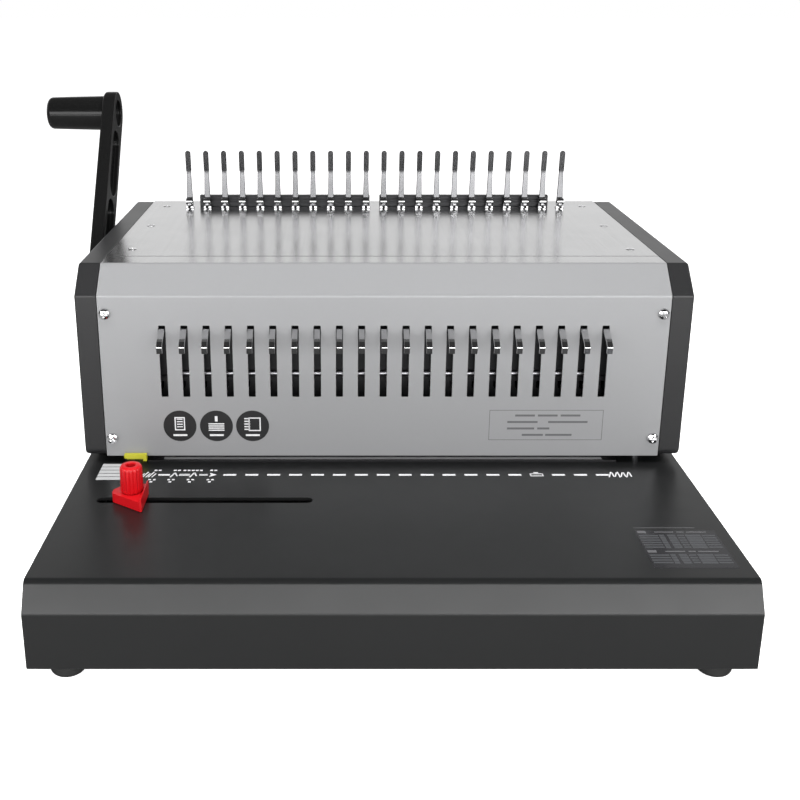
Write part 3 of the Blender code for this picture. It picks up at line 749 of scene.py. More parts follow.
@dataclass(frozen=True)
class Repeat:
    """Copies of one part on a grid of places, made by Geometry Nodes.

    Args:
        start: Place of the first copy.
        count: Copies along each of the two steps.
        step: The first step.
        row_step: The second step.
        turn: Largest random turn about Z, in radians.
        seed: Seed of the random turn.
    """

    start: Point3
    count: tuple[int, int]
    step: Point3
    row_step: Point3 = (0.0, 0.0, 0.0)
    turn: float = 0.0
    seed: int = 4

    def tree(self) -> bpy.types.GeometryNodeTree:
        """The shared tree, built once, with its sizes as named inputs."""
        found = bpy.data.node_groups.get("copies_on_grid")
        if found:
            return found
        tree = bpy.data.node_groups.new("copies_on_grid", "GeometryNodeTree")
        sockets = {"Part": "Object", "Finish": "Material", "Start": "Vector", "Step": "Vector",
                   "Count": "Int", "Row Step": "Vector", "Rows": "Int", "Turn": "Float", "Seed": "Int"}
        for name, kind in sockets.items():
            tree.interface.new_socket(name=name, in_out="INPUT", socket_type=f"NodeSocket{kind}")
        tree.interface.new_socket(name="Geometry", in_out="OUTPUT", socket_type="NodeSocketGeometry")
        sheet = Sheet(tree)
        given = sheet.node("NodeGroupInput").outputs
        row = sheet.node("GeometryNodeMeshLine", {"Count": given["Count"], "Offset": given["Step"],
                                                  "Start Location": given["Start"]}, mode="OFFSET")
        rows = sheet.node("GeometryNodeMeshLine", {"Count": given["Rows"], "Offset": given["Row Step"]},
                          mode="OFFSET")
        grid = sheet.node("GeometryNodeInstanceOnPoints", {"Points": rows.outputs[0],
                                                           "Instance": row.outputs[0]})
        points = sheet.node("GeometryNodeRealizeInstances", {0: grid.outputs[0]})
        part = sheet.node("GeometryNodeObjectInfo", {"Object": given["Part"]})
        least = sheet.math("MULTIPLY", given["Turn"], -1.0)
        angle = sheet.node("FunctionNodeRandomValue", {"Seed": given["Seed"]}, data_type="FLOAT")
        sheet.join(least, angle.inputs[2])
        sheet.join(given["Turn"], angle.inputs[3])
        turned_by = sheet.node("ShaderNodeCombineXYZ", {"Z": angle.outputs[1]})
        copies = sheet.node("GeometryNodeInstanceOnPoints", {
            "Points": points.outputs[0], "Instance": part.outputs["Geometry"],
            "Rotation": turned_by.outputs[0]})
        real = sheet.node("GeometryNodeRealizeInstances", {0: copies.outputs[0]})
        dressed = sheet.node("GeometryNodeSetMaterial", {"Geometry": real.outputs[0],
                                                         "Material": given["Finish"]})
        sheet.join(dressed.outputs[0], sheet.node("NodeGroupOutput").inputs[0])
        return tree

    def build(self, part: Solid, finish: Finish) -> Solid:
        """The copies as one solid of separate bodies.

        Args:
            part: The part, drawn about its own zero point.
            finish: The finish that the copies get.

        Returns:
            A solid that holds every copy as plain mesh.
        """
        made = Solid([block((0, 1), (0, 1), (0, 1))])
        modifier = made.body.modifiers.new("copies", "NODES")
        modifier.node_group = self.tree()
        values = {"Part": part.body, "Finish": finish.material(), "Start": self.start, "Step": self.step,
                  "Count": self.count[0], "Row Step": self.row_step, "Rows": self.count[1], "Turn": self.turn,
                  "Seed": self.seed}
        for socket in modifier.node_group.interface.items_tree:
            if socket.in_out == "INPUT":
                modifier[socket.identifier] = values[socket.name]
        settle(made.body)
        bpy.data.objects.remove(part.body)
        return made


# ---------------------------------------------------------------- base


@dataclass(frozen=True)
class BaseUnit:
    """The low base: folded shell, bottom plate, feet and drawer."""

    half_width: float = 198.0
    depth: float = 390.0
    underside: float = 7.0
    table: float = 57.0
    front_fold: float = 41.4
    table_front: float = 9.0
    wall: float = 2.0
    side_round: float = 3.0
    slot_x: Point2 = (-179.0, -45.0)
    slot_y: float = 103.0
    slot_half: float = 3.75
    die_x: float = 157.6
    die_y: Point2 = (159.4, 190.6)
    drawer_y: Point2 = (147.4, 216.6)
    drawer_z: Point2 = (9.1, 47.1)
    tab_slot_x: Point2 = (-171.5, -161.5)
    tab_slot_y: Point2 = (163.6, 167.4)
    feet_at: tuple[Point2, Point2] = ((178.0, 11.5), (177.0, 365.0))

    def outline(self) -> list[Point2]:
        """The side view of the shell, with its bends."""
        corners = [(0.0, self.underside), (0.0, self.front_fold), (self.table_front, self.table),
                   (self.depth, self.table), (self.depth, self.underside)]
        return rounded(corners, [1.6, 4.5, 4.5, 2.0, 1.2], 10)

    def shell(self, shop: Workshop) -> None:
        """The folded shell with the guide slot, the die opening and the drawer opening."""
        ceiling, back = self.table - self.wall, self.depth - self.wall
        inside = [(self.wall, 0.0), (self.wall, self.front_fold - 0.4), (self.table_front + 1.2, ceiling),
                  (back, ceiling), (back, 0.0)]

        def side_edge(a: Vector, b: Vector) -> bool:
            """Whether an edge runs along the outline of either side."""
            on_side = abs(abs(a.x) - self.half_width) < 0.1 and abs(a.x - b.x) < 0.1
            return on_side and max(a.z, b.z) > self.underside + 0.6

        solid = Solid([prism(Axis.X, self.outline(), -self.half_width, self.half_width)])
        solid.round_edges(side_edge, self.side_round, 5)
        solid.cut([prism(Axis.X, inside, -self.half_width + self.wall, self.half_width - self.wall)])
        through = (self.table - 5, self.table + 4)
        slot = capsule((self.slot_x[0] + self.slot_half, self.slot_y),
                       (self.slot_x[1] - self.slot_half, self.slot_y), self.slot_half)
        solid.cut([prism(Axis.Z, slot, *through), block((-self.die_x, self.die_x), self.die_y, through),
                   block(self.tab_slot_x, self.tab_slot_y, through)])
        solid.cut([block((self.half_width - 6, self.half_width + 5), self.drawer_y, self.drawer_z)])
        solid.soften(0.35, 2)
        shop.dress(solid, "base_cover", Slot.base_paint, "machine", ["base_shell"])

    def feet(self, shop: Workshop) -> None:
        """Four domed rubber feet."""
        dome = [(z, r) for r, z in arc((6.8, 3.2), 3.2, 0, -90, 6)]
        profile = [(6.7, 7.5), (6.7, 10.0)] + dome + [(0.0, 3.0)]
        for side_name, side in (("left", -1), ("right", 1)):
            for end_name, (x, y) in zip(("front", "rear"), self.feet_at):
                foot = Solid([turned(Axis.Z, (side * x, y), profile)])
                foot.body.data.shade_smooth()
                foot.body.data.set_sharp_from_angle(angle=math.radians(50))
                node = f"foot_{end_name}_{side_name}"
                shop.dress(foot, f"{node}_dome", Slot.rubber, "machine", [node])

    def build(self, shop: Workshop) -> None:
        """Builds the base and what closes it."""
        self.shell(shop)
        self.feet(shop)
        shop.refine("base_plate", Slot.base_paint)
        shop.refine("chip_drawer", Slot.drawer_plastic, 0.5, 3)


@dataclass(frozen=True)
class TablePrints:
    """White marks printed on the paper table, without any lettering."""

    level: float = 57.0
    ink: float = 0.05
    row_y: float = 139.3
    dash: Point2 = (8.4, 2.3)
    lean: float = 0.35  # how far slanted marks lean to the right for each millimetre of depth
    pile_x: Point2 = (-186.0, -161.0)
    pile_y: Point2 = (131.5, 156.5)

    def bar(self, x: float, y: float, width: float, depth: float, lean: float = 0.0) -> Shape:
        """A printed bar, centred, whose far end may lean to one side."""
        slide = lean * depth / 2
        outline = [(x - width / 2 - slide, y - depth / 2), (x + width / 2 - slide, y - depth / 2),
                   (x + width / 2 + slide, y + depth / 2), (x - width / 2 + slide, y + depth / 2)]
        return prism(Axis.Z, outline, self.level - 0.02, self.level + self.ink)

    def dashes(self, shop: Workshop) -> None:
        """The dash at each hole, with a gap where the binder's outline stands."""
        half_long, half_wide = self.dash[0] / 2, self.dash[1] / 2
        for name, first, count in (("left", -7, 14), ("right", 8, 3)):
            part = Solid([block((-half_long, half_long), (-half_wide, half_wide), (-0.02, self.ink))])
            row = Repeat((first * PITCH, self.row_y, self.level), (count, 1), (PITCH, 0.0, 0.0))
            shop.dress(row.build(part, WHITE_INK), f"hole_dashes_{name}", WHITE_INK, "machine")

    def sheet_pile(self) -> list[Shape]:
        """A pile of sheets drawn as wide bars, left of the guide."""
        (left, right), (near, far) = self.pile_x, self.pile_y
        step = (far - near) / 5
        middle, width = (left + right) / 2, right - left
        return [self.bar(middle, near + step * (i + 0.5), width, step - 0.8) for i in range(5)]

    def pointers(self) -> list[Shape]:
        """The pointer at each paper size, with the pairs of small bars under it."""
        marks: list[Shape] = []
        for x in (-149.2, -136.9, -124.4, -111.6):
            marks += [self.bar(x + dx, self.row_y - 7.2, 1.7, 1.7) for dx in (-1.9, 1.1)]
            marks.append(self.bar(x - 0.6, self.row_y - 10.4, 1.8, 1.8))
        for x in (-137.2, -124.6):
            marks.append(self.bar(x, self.row_y, 1.1, 7.0, self.lean))
            marks.append(self.bar(x + 2.1, self.row_y + 0.6, 1.0, 5.0, -self.lean))
        arrow = [(-113.4, self.row_y - 3.0), (-108.6, self.row_y), (-113.4, self.row_y + 3.0),
                 (-112.4, self.row_y)]
        marks.append(prism(Axis.Z, arrow, self.level - 0.02, self.level + self.ink))
        return marks

    def ruler(self) -> list[Shape]:
        """Slanted ticks, the first dash, and the bars that stand for paper sizes."""
        marks = [self.bar(-157.0 + 1.9 * i, self.row_y - 0.8 + (i % 2) * 1.2, 0.9, 5.6 + 2.4 * (i % 2),
                          self.lean) for i in range(5)]
        marks.append(self.bar(-10 * PITCH, self.row_y, self.dash[0] * 0.9, self.dash[1]))
        for first, count in ((-149.2, 2), (-136.6, 2), (-130.2, 5), (-112.6, 2)):
            marks += [self.bar(first + 2.7 * i, self.row_y + 6.8, 1.9, 1.7) for i in range(count)]
        return marks

    def windows(self) -> list[Shape]:
        """Two pale windows between the pointers."""
        return [self.bar(-129.6, self.row_y, 7.0, 3.0), self.bar(-117.2, self.row_y, 5.6, 2.4)]

    def zigzag(self) -> list[Shape]:
        """Rows of slanted ticks at the right end of the scale."""
        return [self.bar(147.9 + 1.9 * i, self.row_y + 0.4, 0.9, 6.4 + 1.6 * (i % 3 == 0),
                         0.0 if i % 2 else self.lean) for i in range(8)]

    def binder_outline(self) -> list[Shape]:
        """A small outline of the machine, in the gap of the dashes."""
        x, y = 7 * PITCH, self.row_y
        return [self.bar(x, y - 1.6, 8.6, 0.9), self.bar(x - 3.9, y, 0.9, 3.4),
                self.bar(x + 3.9, y, 0.9, 3.4), self.bar(x, y + 1.6, 8.6, 0.9),
                self.bar(x, y + 3.4, 3.0, 1.2)]

    def build(self, shop: Workshop) -> None:
        """Prints the table."""
        self.dashes(shop)
        marks = self.pointers() + self.ruler() + self.zigzag() + self.binder_outline()
        shop.dress(Solid(marks), "paper_scale_marks", WHITE_INK, "machine")
        shop.dress(Solid(self.sheet_pile() + self.windows()), "paper_scale_fills", PALE_INK, "machine")
        TableLabel().build(shop)


@dataclass(frozen=True)
class TableLabel:
    """The dark label at the front right of the table: two small tables drawn with bars only."""

    x: Point2 = (144.0, 190.5)
    y: Point2 = (21.5, 64.0)
    level: float = 57.0
    rows: tuple[int, int] = (6, 4)
    columns: tuple[Point3, ...] = ((1.0, 12.0, 1.5), (12.6, 15.6, 2.3), (17.4, 22.0, 2.3), (23.0, 27.0, 1.5),
                                   (27.8, 36.5, 2.3))  # start, end and depth of a row's bars

    def bar(self, x: Point2, y: float, depth: float) -> Shape:
        """A bar on the film."""
        return block(x, (y - depth / 2, y + depth / 2), (self.level + 0.03, self.level + 0.09))

    def build(self, shop: Workshop) -> None:
        """Lays the film and prints its two tables."""
        film = Solid([block(self.x, self.y, (self.level - 0.02, self.level + 0.05))])
        shop.dress(film, "table_label_film", LABEL_FILM, "machine")
        left, right = self.x
        grey: list[Shape] = []
        white: list[Shape] = [block((left, left + 36), (67.0, 67.5), (self.level - 0.02, self.level + 0.05))]
        tops = (self.y[1] - 2.0, self.y[1] - 24.5)
        for top, rows in zip(tops, self.rows):
            white += [self.bar((left + 1, left + 6), top, 2.6), self.bar((left + 11, left + 22), top, 1.0),
                      self.bar((left + 24, left + 28), top, 1.0),
                      self.bar((left + 29.5, left + 41), top, 1.0)]
            for row in range(rows):
                y = top - 4.2 - 2.7 * row
                for start, end, depth in self.columns:
                    grey.append(self.bar((left + start, left + end), y, depth))
                grey.append(self.bar((left + 37.2, right - 1.5), y, 1.5))
        shop.dress(Solid(grey), "table_label_rows", GREY_INK, "machine")
        shop.dress(Solid(white), "table_label_headings", THIN_INK, "machine")


# ---------------------------------------------------------------- housing


@dataclass(frozen=True)
class Housing:
    """Side panels, slotted front cover, mirror top, rear cover and their screws."""

    panel_y: float = 158.0
    bottom: float = 62.1
    side_bottom: float = 57.5
    fold: float = 173.0
    chamfer_y: float = 176.0
    top: float = 190.0
    seam_y: float = 195.0
    rear_y: float = 390.0
    half_width: float = 198.0
    side_thick: float = 14.0
    sheet: float = 1.2
    slot_half: float = 2.25
    slot_z: Point2 = (104.0, 153.0)
    screw_x: float = 179.0
    screw_z: Point2 = (75.0, 161.0)
    finger_y: float = 362.0
    riser_x: tuple[float, ...] = (-108.0, -40.0, 40.0, 108.0)
    riser_y: Point2 = (366.9, 386.3)
    plate_screw_x: float = 170.0
    plate_screw_y: float = 215.0
    plate_screw_step: float = 76.5

    @property
    def cover_half(self) -> float:
        """Half the width of the sheets between the side panels."""
        return self.half_width - self.side_thick - 0.4

    def side_panels(self, shop: Workshop) -> None:
        """The two hollow end panels."""
        wall = 2.5
        low, inner_low = self.side_bottom, self.bottom
        corners = [(self.panel_y, inner_low), (self.panel_y, self.fold), (self.chamfer_y, self.top),
                   (self.rear_y, self.top), (self.rear_y, low), (192.0, low), (192.0, inner_low)]
        outline = rounded(corners, [5, 3, 3, 4, 2, 0, 0], 8)
        inside = [(self.panel_y + wall, inner_low + wall), (self.panel_y + wall, self.fold - 1.1),
                  (self.chamfer_y + 1.1, self.top - wall), (self.rear_y - wall, self.top - wall),
                  (self.rear_y - wall, low + wall), (192 + wall, low + wall), (192 + wall, inner_low + wall)]
        for name, side in (("left", -1), ("right", 1)):
            inner = side * (self.half_width - self.side_thick)

            def outer_edge(a: Vector, b: Vector, side: int = side) -> bool:
                """Whether an edge lies on the panel's outer face."""
                return min(a.x * side, b.x * side) > self.half_width - 0.1

            solid = Solid([prism(Axis.X, outline, inner, side * self.half_width)])
            solid.round_edges(outer_edge, 1.8, 4)
            solid.cut([prism(Axis.X, inside, inner - side * 5, side * (self.half_width - wall))])
            if side < 0:
                solid.cut([rod(Axis.X, (262.0, 102.0), 9.0, -self.half_width - 4, inner + 3)])
            solid.soften(0.3, 2)
            shop.dress(solid, f"{name}_end_panel", Slot.black_housing, "machine", [f"{name}_side_panel"])

    def front_cover(self, shop: Workshop) -> None:
        """The bent front sheet; its top flange is polished like the plate behind it."""
        corners = [(self.panel_y, self.bottom), (self.panel_y, self.fold), (self.chamfer_y, self.top),
                   (self.seam_y - 0.5, self.top)]
        path = rounded(corners, [0, 3.0, 2.4, 0], 8, closed=False)
        solid = Solid([prism(Axis.X, strip(path, self.sheet), -self.cover_half, self.cover_half)])
        through = (self.panel_y - 4, self.panel_y + 4)
        low, high = self.slot_z
        half = self.slot_half
        slots = [prism(Axis.Y, rounded([(x - half, low), (x + half, low), (x + half, high), (x - half, high)],
                                       [0.5] * 4, 3), *through) for x in hole_places()]
        holes = [rod(Axis.Y, (side * self.screw_x, z), 2.4, *through, sides=24)
                 for side in (-1, 1) for z in self.screw_z]
        solid.cut(slots).cut(holes).soften(0.22, 2)
        for face in solid.body.data.polygons:
            face.material_index = int(face.center.y > self.chamfer_y + 1.0 and face.normal.z > 0.9)
        shop.dress(solid, "slotted_front", Slot.silver_paint, "machine", ["front_cover"],
                   Slot.polished_steel.value)

    def top_plate(self, shop: Workshop) -> None:
        """The polished plate with the holes for the comb rack and the opener."""
        levels = (self.top - 6, self.top + 4)
        fingers = [block((x - 3.3, x + 3.3), (self.finger_y - 1.3, self.finger_y + 1.3), levels)
                   for x in [(i - HOLES / 2) * PITCH for i in range(HOLES + 1)]]
        risers = [block((x - 4.6, x + 4.6), self.riser_y, levels) for x in self.riser_x]
        solid = Solid([block((-self.cover_half, self.cover_half), (self.seam_y + 0.3, self.rear_y),
                             (self.top - self.sheet, self.top))])
        solid.cut(fingers + risers).soften(0.25, 2)
        shop.dress(solid, "mirror_top", Slot.polished_steel, "machine", ["top_plate"])
        screw = Solid([turned(Axis.Z, (0, 0), [(-0.25, 3.2), (0.1, 3.2), (0.42, 2.7), (0.5, 1.9)], 24)])
        long_way, narrow = (-1.6, 1.6), (-0.28, 0.28)
        for x, y in ((long_way, narrow), (narrow, long_way)):
            screw.cut([block(x, y, (0.1, 2))])
        screw.soften(0.03, 1)
        rows = Repeat((-self.plate_screw_x, self.plate_screw_y, self.top), (2, 3),
                      (2 * self.plate_screw_x, 0.0, 0.0), (0.0, self.plate_screw_step, 0.0), turn=0.9)
        shop.dress(rows.build(screw, Slot.chrome.value), "top_plate_screws", Slot.chrome, "machine")

    def cover_screws(self, shop: Workshop) -> None:
        """Four pan-head screws with a cross recess, one for each corner of the front."""
        for side_name, side in (("left", -1), ("right", 1)):
            for level_name, z in zip(("lower", "upper"), self.screw_z):
                centre = (side * self.screw_x, z)
                y = self.panel_y
                head = [(y + 6, 1.9), (y - 0.2, 1.9), (y - 0.2, 3.7), (y - 0.9, 3.7), (y - 1.6, 3.35),
                        (y - 2.05, 2.5), (y - 2.25, 1.3), (y - 2.3, 0.5)]
                solid = Solid([turned(Axis.Y, centre, head, 40)])
                turn = Matrix.Rotation(math.radians(37 + 19 * side + 0.4 * z), 2)
                for half in ((2.1, 0.42), (0.42, 2.1)):
                    cross = [turn @ Vector((half[0] * a, half[1] * b))
                             for a, b in ((-1, -1), (1, -1), (1, 1), (-1, 1))]
                    outline = [(centre[0] + c.x, centre[1] + c.y) for c in cross]
                    solid.cut([prism(Axis.Y, outline, y - 5, y - 1.1)])
                solid.soften(0.1, 2)
                name = f"cover_screw_{side_name}_{level_name}"
                shop.dress(solid, f"{name}_head", Slot.chrome, "machine", [name])

    def build(self, shop: Workshop) -> None:
        """Builds the housing and what it is screwed to."""
        self.side_panels(shop)
        self.front_cover(shop)
        self.top_plate(shop)
        self.cover_screws(shop)
        shop.refine("rear_cover", Slot.black_housing)
        for side in ("left", "right"):
            shop.refine(f"{side}_frame_plate", Slot.zinc_steel)
            shop.refine(f"{side}_shaft_bush", Slot.brass)


@dataclass(frozen=True)
class FrontPrints:
    """Three black badges with plain pictures, and a boxed notice of bars."""

    panel_y: float = 158.0
    badge_x: tuple[float, ...] = (-134.0, -109.9, -86.0)
    badge_z: float = 83.6
    badge_radius: float = 10.9
    notice_x: Point2 = (70.3, 145.4)
    notice_z: Point2 = (73.5, 94.9)

    def mark(self, x: Point2, z: Point2, lift: float = 0.04) -> Shape:
        """A printed rectangle on the cover, proud by the lift."""
        return block(x, (self.panel_y - lift, self.panel_y + 0.02), z)

    def frame_lines(self, x: Point2, z: Point2, line: float, lift: float) -> list[Shape]:
        """Four thin lines round a rectangle."""
        (left, right), (low, high) = x, z
        return [self.mark((left, right), (low, low + line), lift),
                self.mark((left, right), (high - line, high), lift),
                self.mark((left, left + line), (low + line, high - line), lift),
                self.mark((right - line, right), (low + line, high - line), lift)]

    def page_picture(self, x: float) -> list[Shape]:
        """An upright page with lines."""
        z = self.badge_z + 1.5
        page = self.frame_lines((x - 3.4, x + 3.4), (z - 4.6, z + 4.8), 0.75, 0.12)
        lines = [self.mark((x - 1.9, x + 1.9), (z + dz, z + dz + 0.7), 0.12) for dz in (-2.4, -0.6, 1.2, 3.0)]
        return page + lines

    def pile_picture(self, x: float) -> list[Shape]:
        """A pile of sheets under a punch pin."""
        z = self.badge_z
        sheets = [self.mark((x - 5.2, x + 5.2), (z - 3.4 + 1.5 * i, z - 2.6 + 1.5 * i), 0.12)
                  for i in range(4)]
        return sheets + [self.mark((x - 0.9, x + 0.9), (z + 3.2, z + 7.0), 0.12)]

    def book_picture(self, x: float) -> list[Shape]:
        """A book with a comb spine."""
        z = self.badge_z + 1.0
        cover = self.frame_lines((x - 2.6, x + 5.4), (z - 4.6, z + 5.0), 0.75, 0.12)
        rings = [self.mark((x - 5.4, x - 1.6), (z - 3.8 + 1.9 * i, z - 3.0 + 1.9 * i), 0.12)
                 for i in range(5)]
        return cover + rings

    def build(self, shop: Workshop) -> None:
        """Prints the badges and the notice."""
        discs = [prism(Axis.Y, circle((x, self.badge_z), self.badge_radius, 72), self.panel_y - 0.06,
                       self.panel_y + 0.02) for x in self.badge_x]
        shop.dress(Solid(discs), "badge_discs", BLACK_INK, "machine")
        left, middle, right = self.badge_x
        pictures = self.page_picture(left) + self.pile_picture(middle) + self.book_picture(right)
        pictures += [self.mark((x - 4.6, x + 4.6), (self.badge_z - 7.2, self.badge_z - 5.9), 0.12)
                     for x in self.badge_x]
        shop.dress(Solid(pictures), "badge_pictures", WHITE_INK, "machine")
        lines = self.frame_lines(self.notice_x, self.notice_z, 0.35, 0.04)
        for z, pieces in ((91.0, ((17, 30), (32, 45), (47, 60))), (86.4, ((12, 32), (39, 65))),
                          (81.8, ((12, 30), (32, 40))), (77.2, ((22, 36), (37.5, 55)))):
            lines += [self.mark((self.notice_x[0] + a, self.notice_x[0] + b), (z - 0.7, z + 0.7))
                      for a, b in pieces]
        shop.dress(Solid(lines), "notice_box", THIN_INK, "machine")


# ---------------------------------------------------------------- comb rack and opener


@dataclass(frozen=True)
class CombRack:
    """The fixed chrome fingers with their rolled feet, and the opener behind them."""

    finger_y: float = 362.0
    plate_z: float = 190.0
    tip_z: float = 236.4
    half_base: float = 2.7
    half_waist: float = 1.75
    half_top: float = 2.1
    half_thick: float = 0.75
    bend_z: float = 219.0
    lean: float = 0.13

    def half_width(self, z: float) -> float:
        """Half the finger's width at a height, with a rounded tip."""
        share = min(1.0, max(0.0, (z - self.plate_z - 4) / (self.bend_z - self.plate_z - 4)))
        straight = self.half_base + (self.half_waist - self.half_base) * share ** 0.7
        if z > self.bend_z + 0.6:
            straight = self.half_top
        under_tip = max(0.0, 1.0 - (self.tip_z - z) / 2.2)
        return straight * math.sqrt(max(0.04, 1.0 - under_tip ** 2))

    def ring(self, z: float) -> list[Point3]:
        """The finger's section at a height: a flat bar with rounded edges."""
        half, thick = self.half_width(z), self.half_thick
        y = -max(0.0, z - self.bend_z) * self.lean
        edge = min(0.3, half * 0.5)
        section = rounded([(-half, -thick), (half, -thick), (half, thick), (-half, thick)], [edge] * 4, 1)
        return [(u, y + v, z) for u, v in section]

    def finger(self) -> list[Shape]:
        """One blade, drawn about the middle of the rack."""
        levels = [186.0, 194.0, 197.0, 201.0, 206.0, 212.0, self.bend_z - 1.5, self.bend_z, self.bend_z + 1.5,
                  226.0, 231.0]
        levels += [self.tip_z - 2.2 * (1 - math.sin(math.radians(a))) for a in range(0, 91, 15)]
        return [loft([self.ring(z) for z in levels])]

    def foot(self) -> list[Shape]:
        """The rolled tongue, flange and rivet at a finger's foot, drawn about the middle of the rack."""
        curl = arc((-3.3, 195.7), 2.5, 20, 285, 22)
        tongue = prism(Axis.X, strip(curl, -0.8), -2.5, 2.5)
        plan = [(-3.4, -3.2), (3.4, -3.2), (3.4, 2.0), (-3.4, 2.0)]
        flange = prism(Axis.Z, rounded(plan, [0.9] * 4, 4), 190.3, 191.5)
        rivet = turned(Axis.Z, (1.3, -2.3), [(191.4, 1.3), (191.9, 1.25), (192.4, 0.8), (192.6, 0.2)], 16)
        bend = rounded([(-3.0, 193.2), (-4.6, 192.4), (-5.4, 190.5)], [0, 1.0, 0], 4, closed=False)
        hook = prism(Axis.X, strip(bend, 0.7), -1.1, 1.1)
        return [tongue, flange, rivet, hook]

    def build(self, shop: Workshop) -> None:
        """Builds the fingers, their feet and their bar, and finishes the rails and their slide."""
        row = Repeat((-HOLES / 2 * PITCH, self.finger_y, 0.0), (HOLES + 1, 1), (PITCH, 0.0, 0.0))
        # The fingers get the darkened chrome, a painted dark reflection. The feet keep the bright chrome.
        for name, shapes, look in (("comb_fingers", self.finger(), RACK_CHROME_DARK_REFLECTION),
                                   ("comb_finger_feet", self.foot(), Slot.chrome.value)):
            part = Solid(shapes[:1])
            for shape in shapes[1:]:
                part.add([shape])
            part.body.data.shade_smooth()
            part.body.data.set_sharp_from_angle(angle=math.radians(38))
            shop.dress(row.build(part, look), name, Slot.chrome, "machine", look=look)
        bar = Solid([block((-170.6, 170.6), (357.5, 366.3), (184.0, 188.4))]).soften(0.3, 2)
        shop.dress(bar, "comb_finger_bar", Slot.zinc_steel, "machine", ["comb_finger_rack"])
        for side in ("left", "right"):
            low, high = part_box(f"{side}_opener_rail")
            x, y = ((low.x, high.x), (low.y, high.y))
            ends = [(v - shop.origin[0]) / MM for v in x]
            near, far = [(v - shop.origin[1]) / MM for v in y]
            top = high.z / MM
            foot = self.plate_z + 0.15
            section = rounded([(near, foot), (near, top), (far, top), (far, foot)], [0, 1.0, 1.0, 0], 4)
            rail = Solid([prism(Axis.X, section, *ends)])
            rail.cut([block((ends[0] + 2, ends[1] - 2), (near - 1, near + 0.5), (top - 5.4, top - 3.0))])
            rail.soften(0.3, 2)
            shop.dress(rail, f"{side}_pull_open_rail", Slot.dark_steel, "opener_carriage",
                       [f"{side}_opener_rail"])
        shop.refine("opener_slide", Slot.zinc_steel)


# ---------------------------------------------------------------- punch mechanism


@dataclass(frozen=True)
class PunchUnit:
    """Die, guide, pressure bar, keeper rod, yokes, cams and the row of finger pulls."""

    top_z: float = 151.2
    thick: float = 1.4
    half_width: float = 1.8

    def pull(self, shop: Workshop, number: int, x: float) -> None:
        """One bent finger pull with a rounded nose."""
        corners = [(177.0, self.top_z), (157.6, self.top_z), (146.8, 145.9), (143.7, 143.0),
                   (144.6, 138.4)]
        path = rounded(corners, [0, 3.5, 1.8, 1.5, 0], 5, closed=False)
        solid = Solid([prism(Axis.X, strip(path, -self.thick), x - self.half_width, x + self.half_width)])
        solid.soften(0.42, 3)
        name = f"{number:02d}"
        shop.dress(solid, f"finger_pull_{name}", Slot.chrome, f"punch_pull_{name}", [f"punch_pull_{name}"])

    def build(self, shop: Workshop) -> None:
        """Builds the pulls and finishes the mechanism behind them."""
        for number, x in enumerate(hole_places(), 1):
            self.pull(shop, number, x)
        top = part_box("die_plate")[1].z / MM
        # A thin pale strip laid on the die's top edge: a painted highlight for the glint along that edge, not
        # a worn or ground surface.
        trim = Solid([block((-146.5, 147.6), (162.2, 165.4), (top - 0.05, top + 0.1))])
        shop.dress(trim, "die_wear_strip", Slot.zinc_steel, "machine", look=PAINTED_HIGHLIGHT_STEEL)
        shop.refine("die_plate", Slot.dark_steel)
        for node in ("punch_guide", "keeper_rod", "left_punch_yoke", "right_punch_yoke", "left_cam",
                     "right_cam", "main_shaft", "depth_stop"):
            shop.refine(node, Slot.zinc_steel)
        shop.refine("punch_bar", Slot.dark_steel)


# ---------------------------------------------------------------- handle


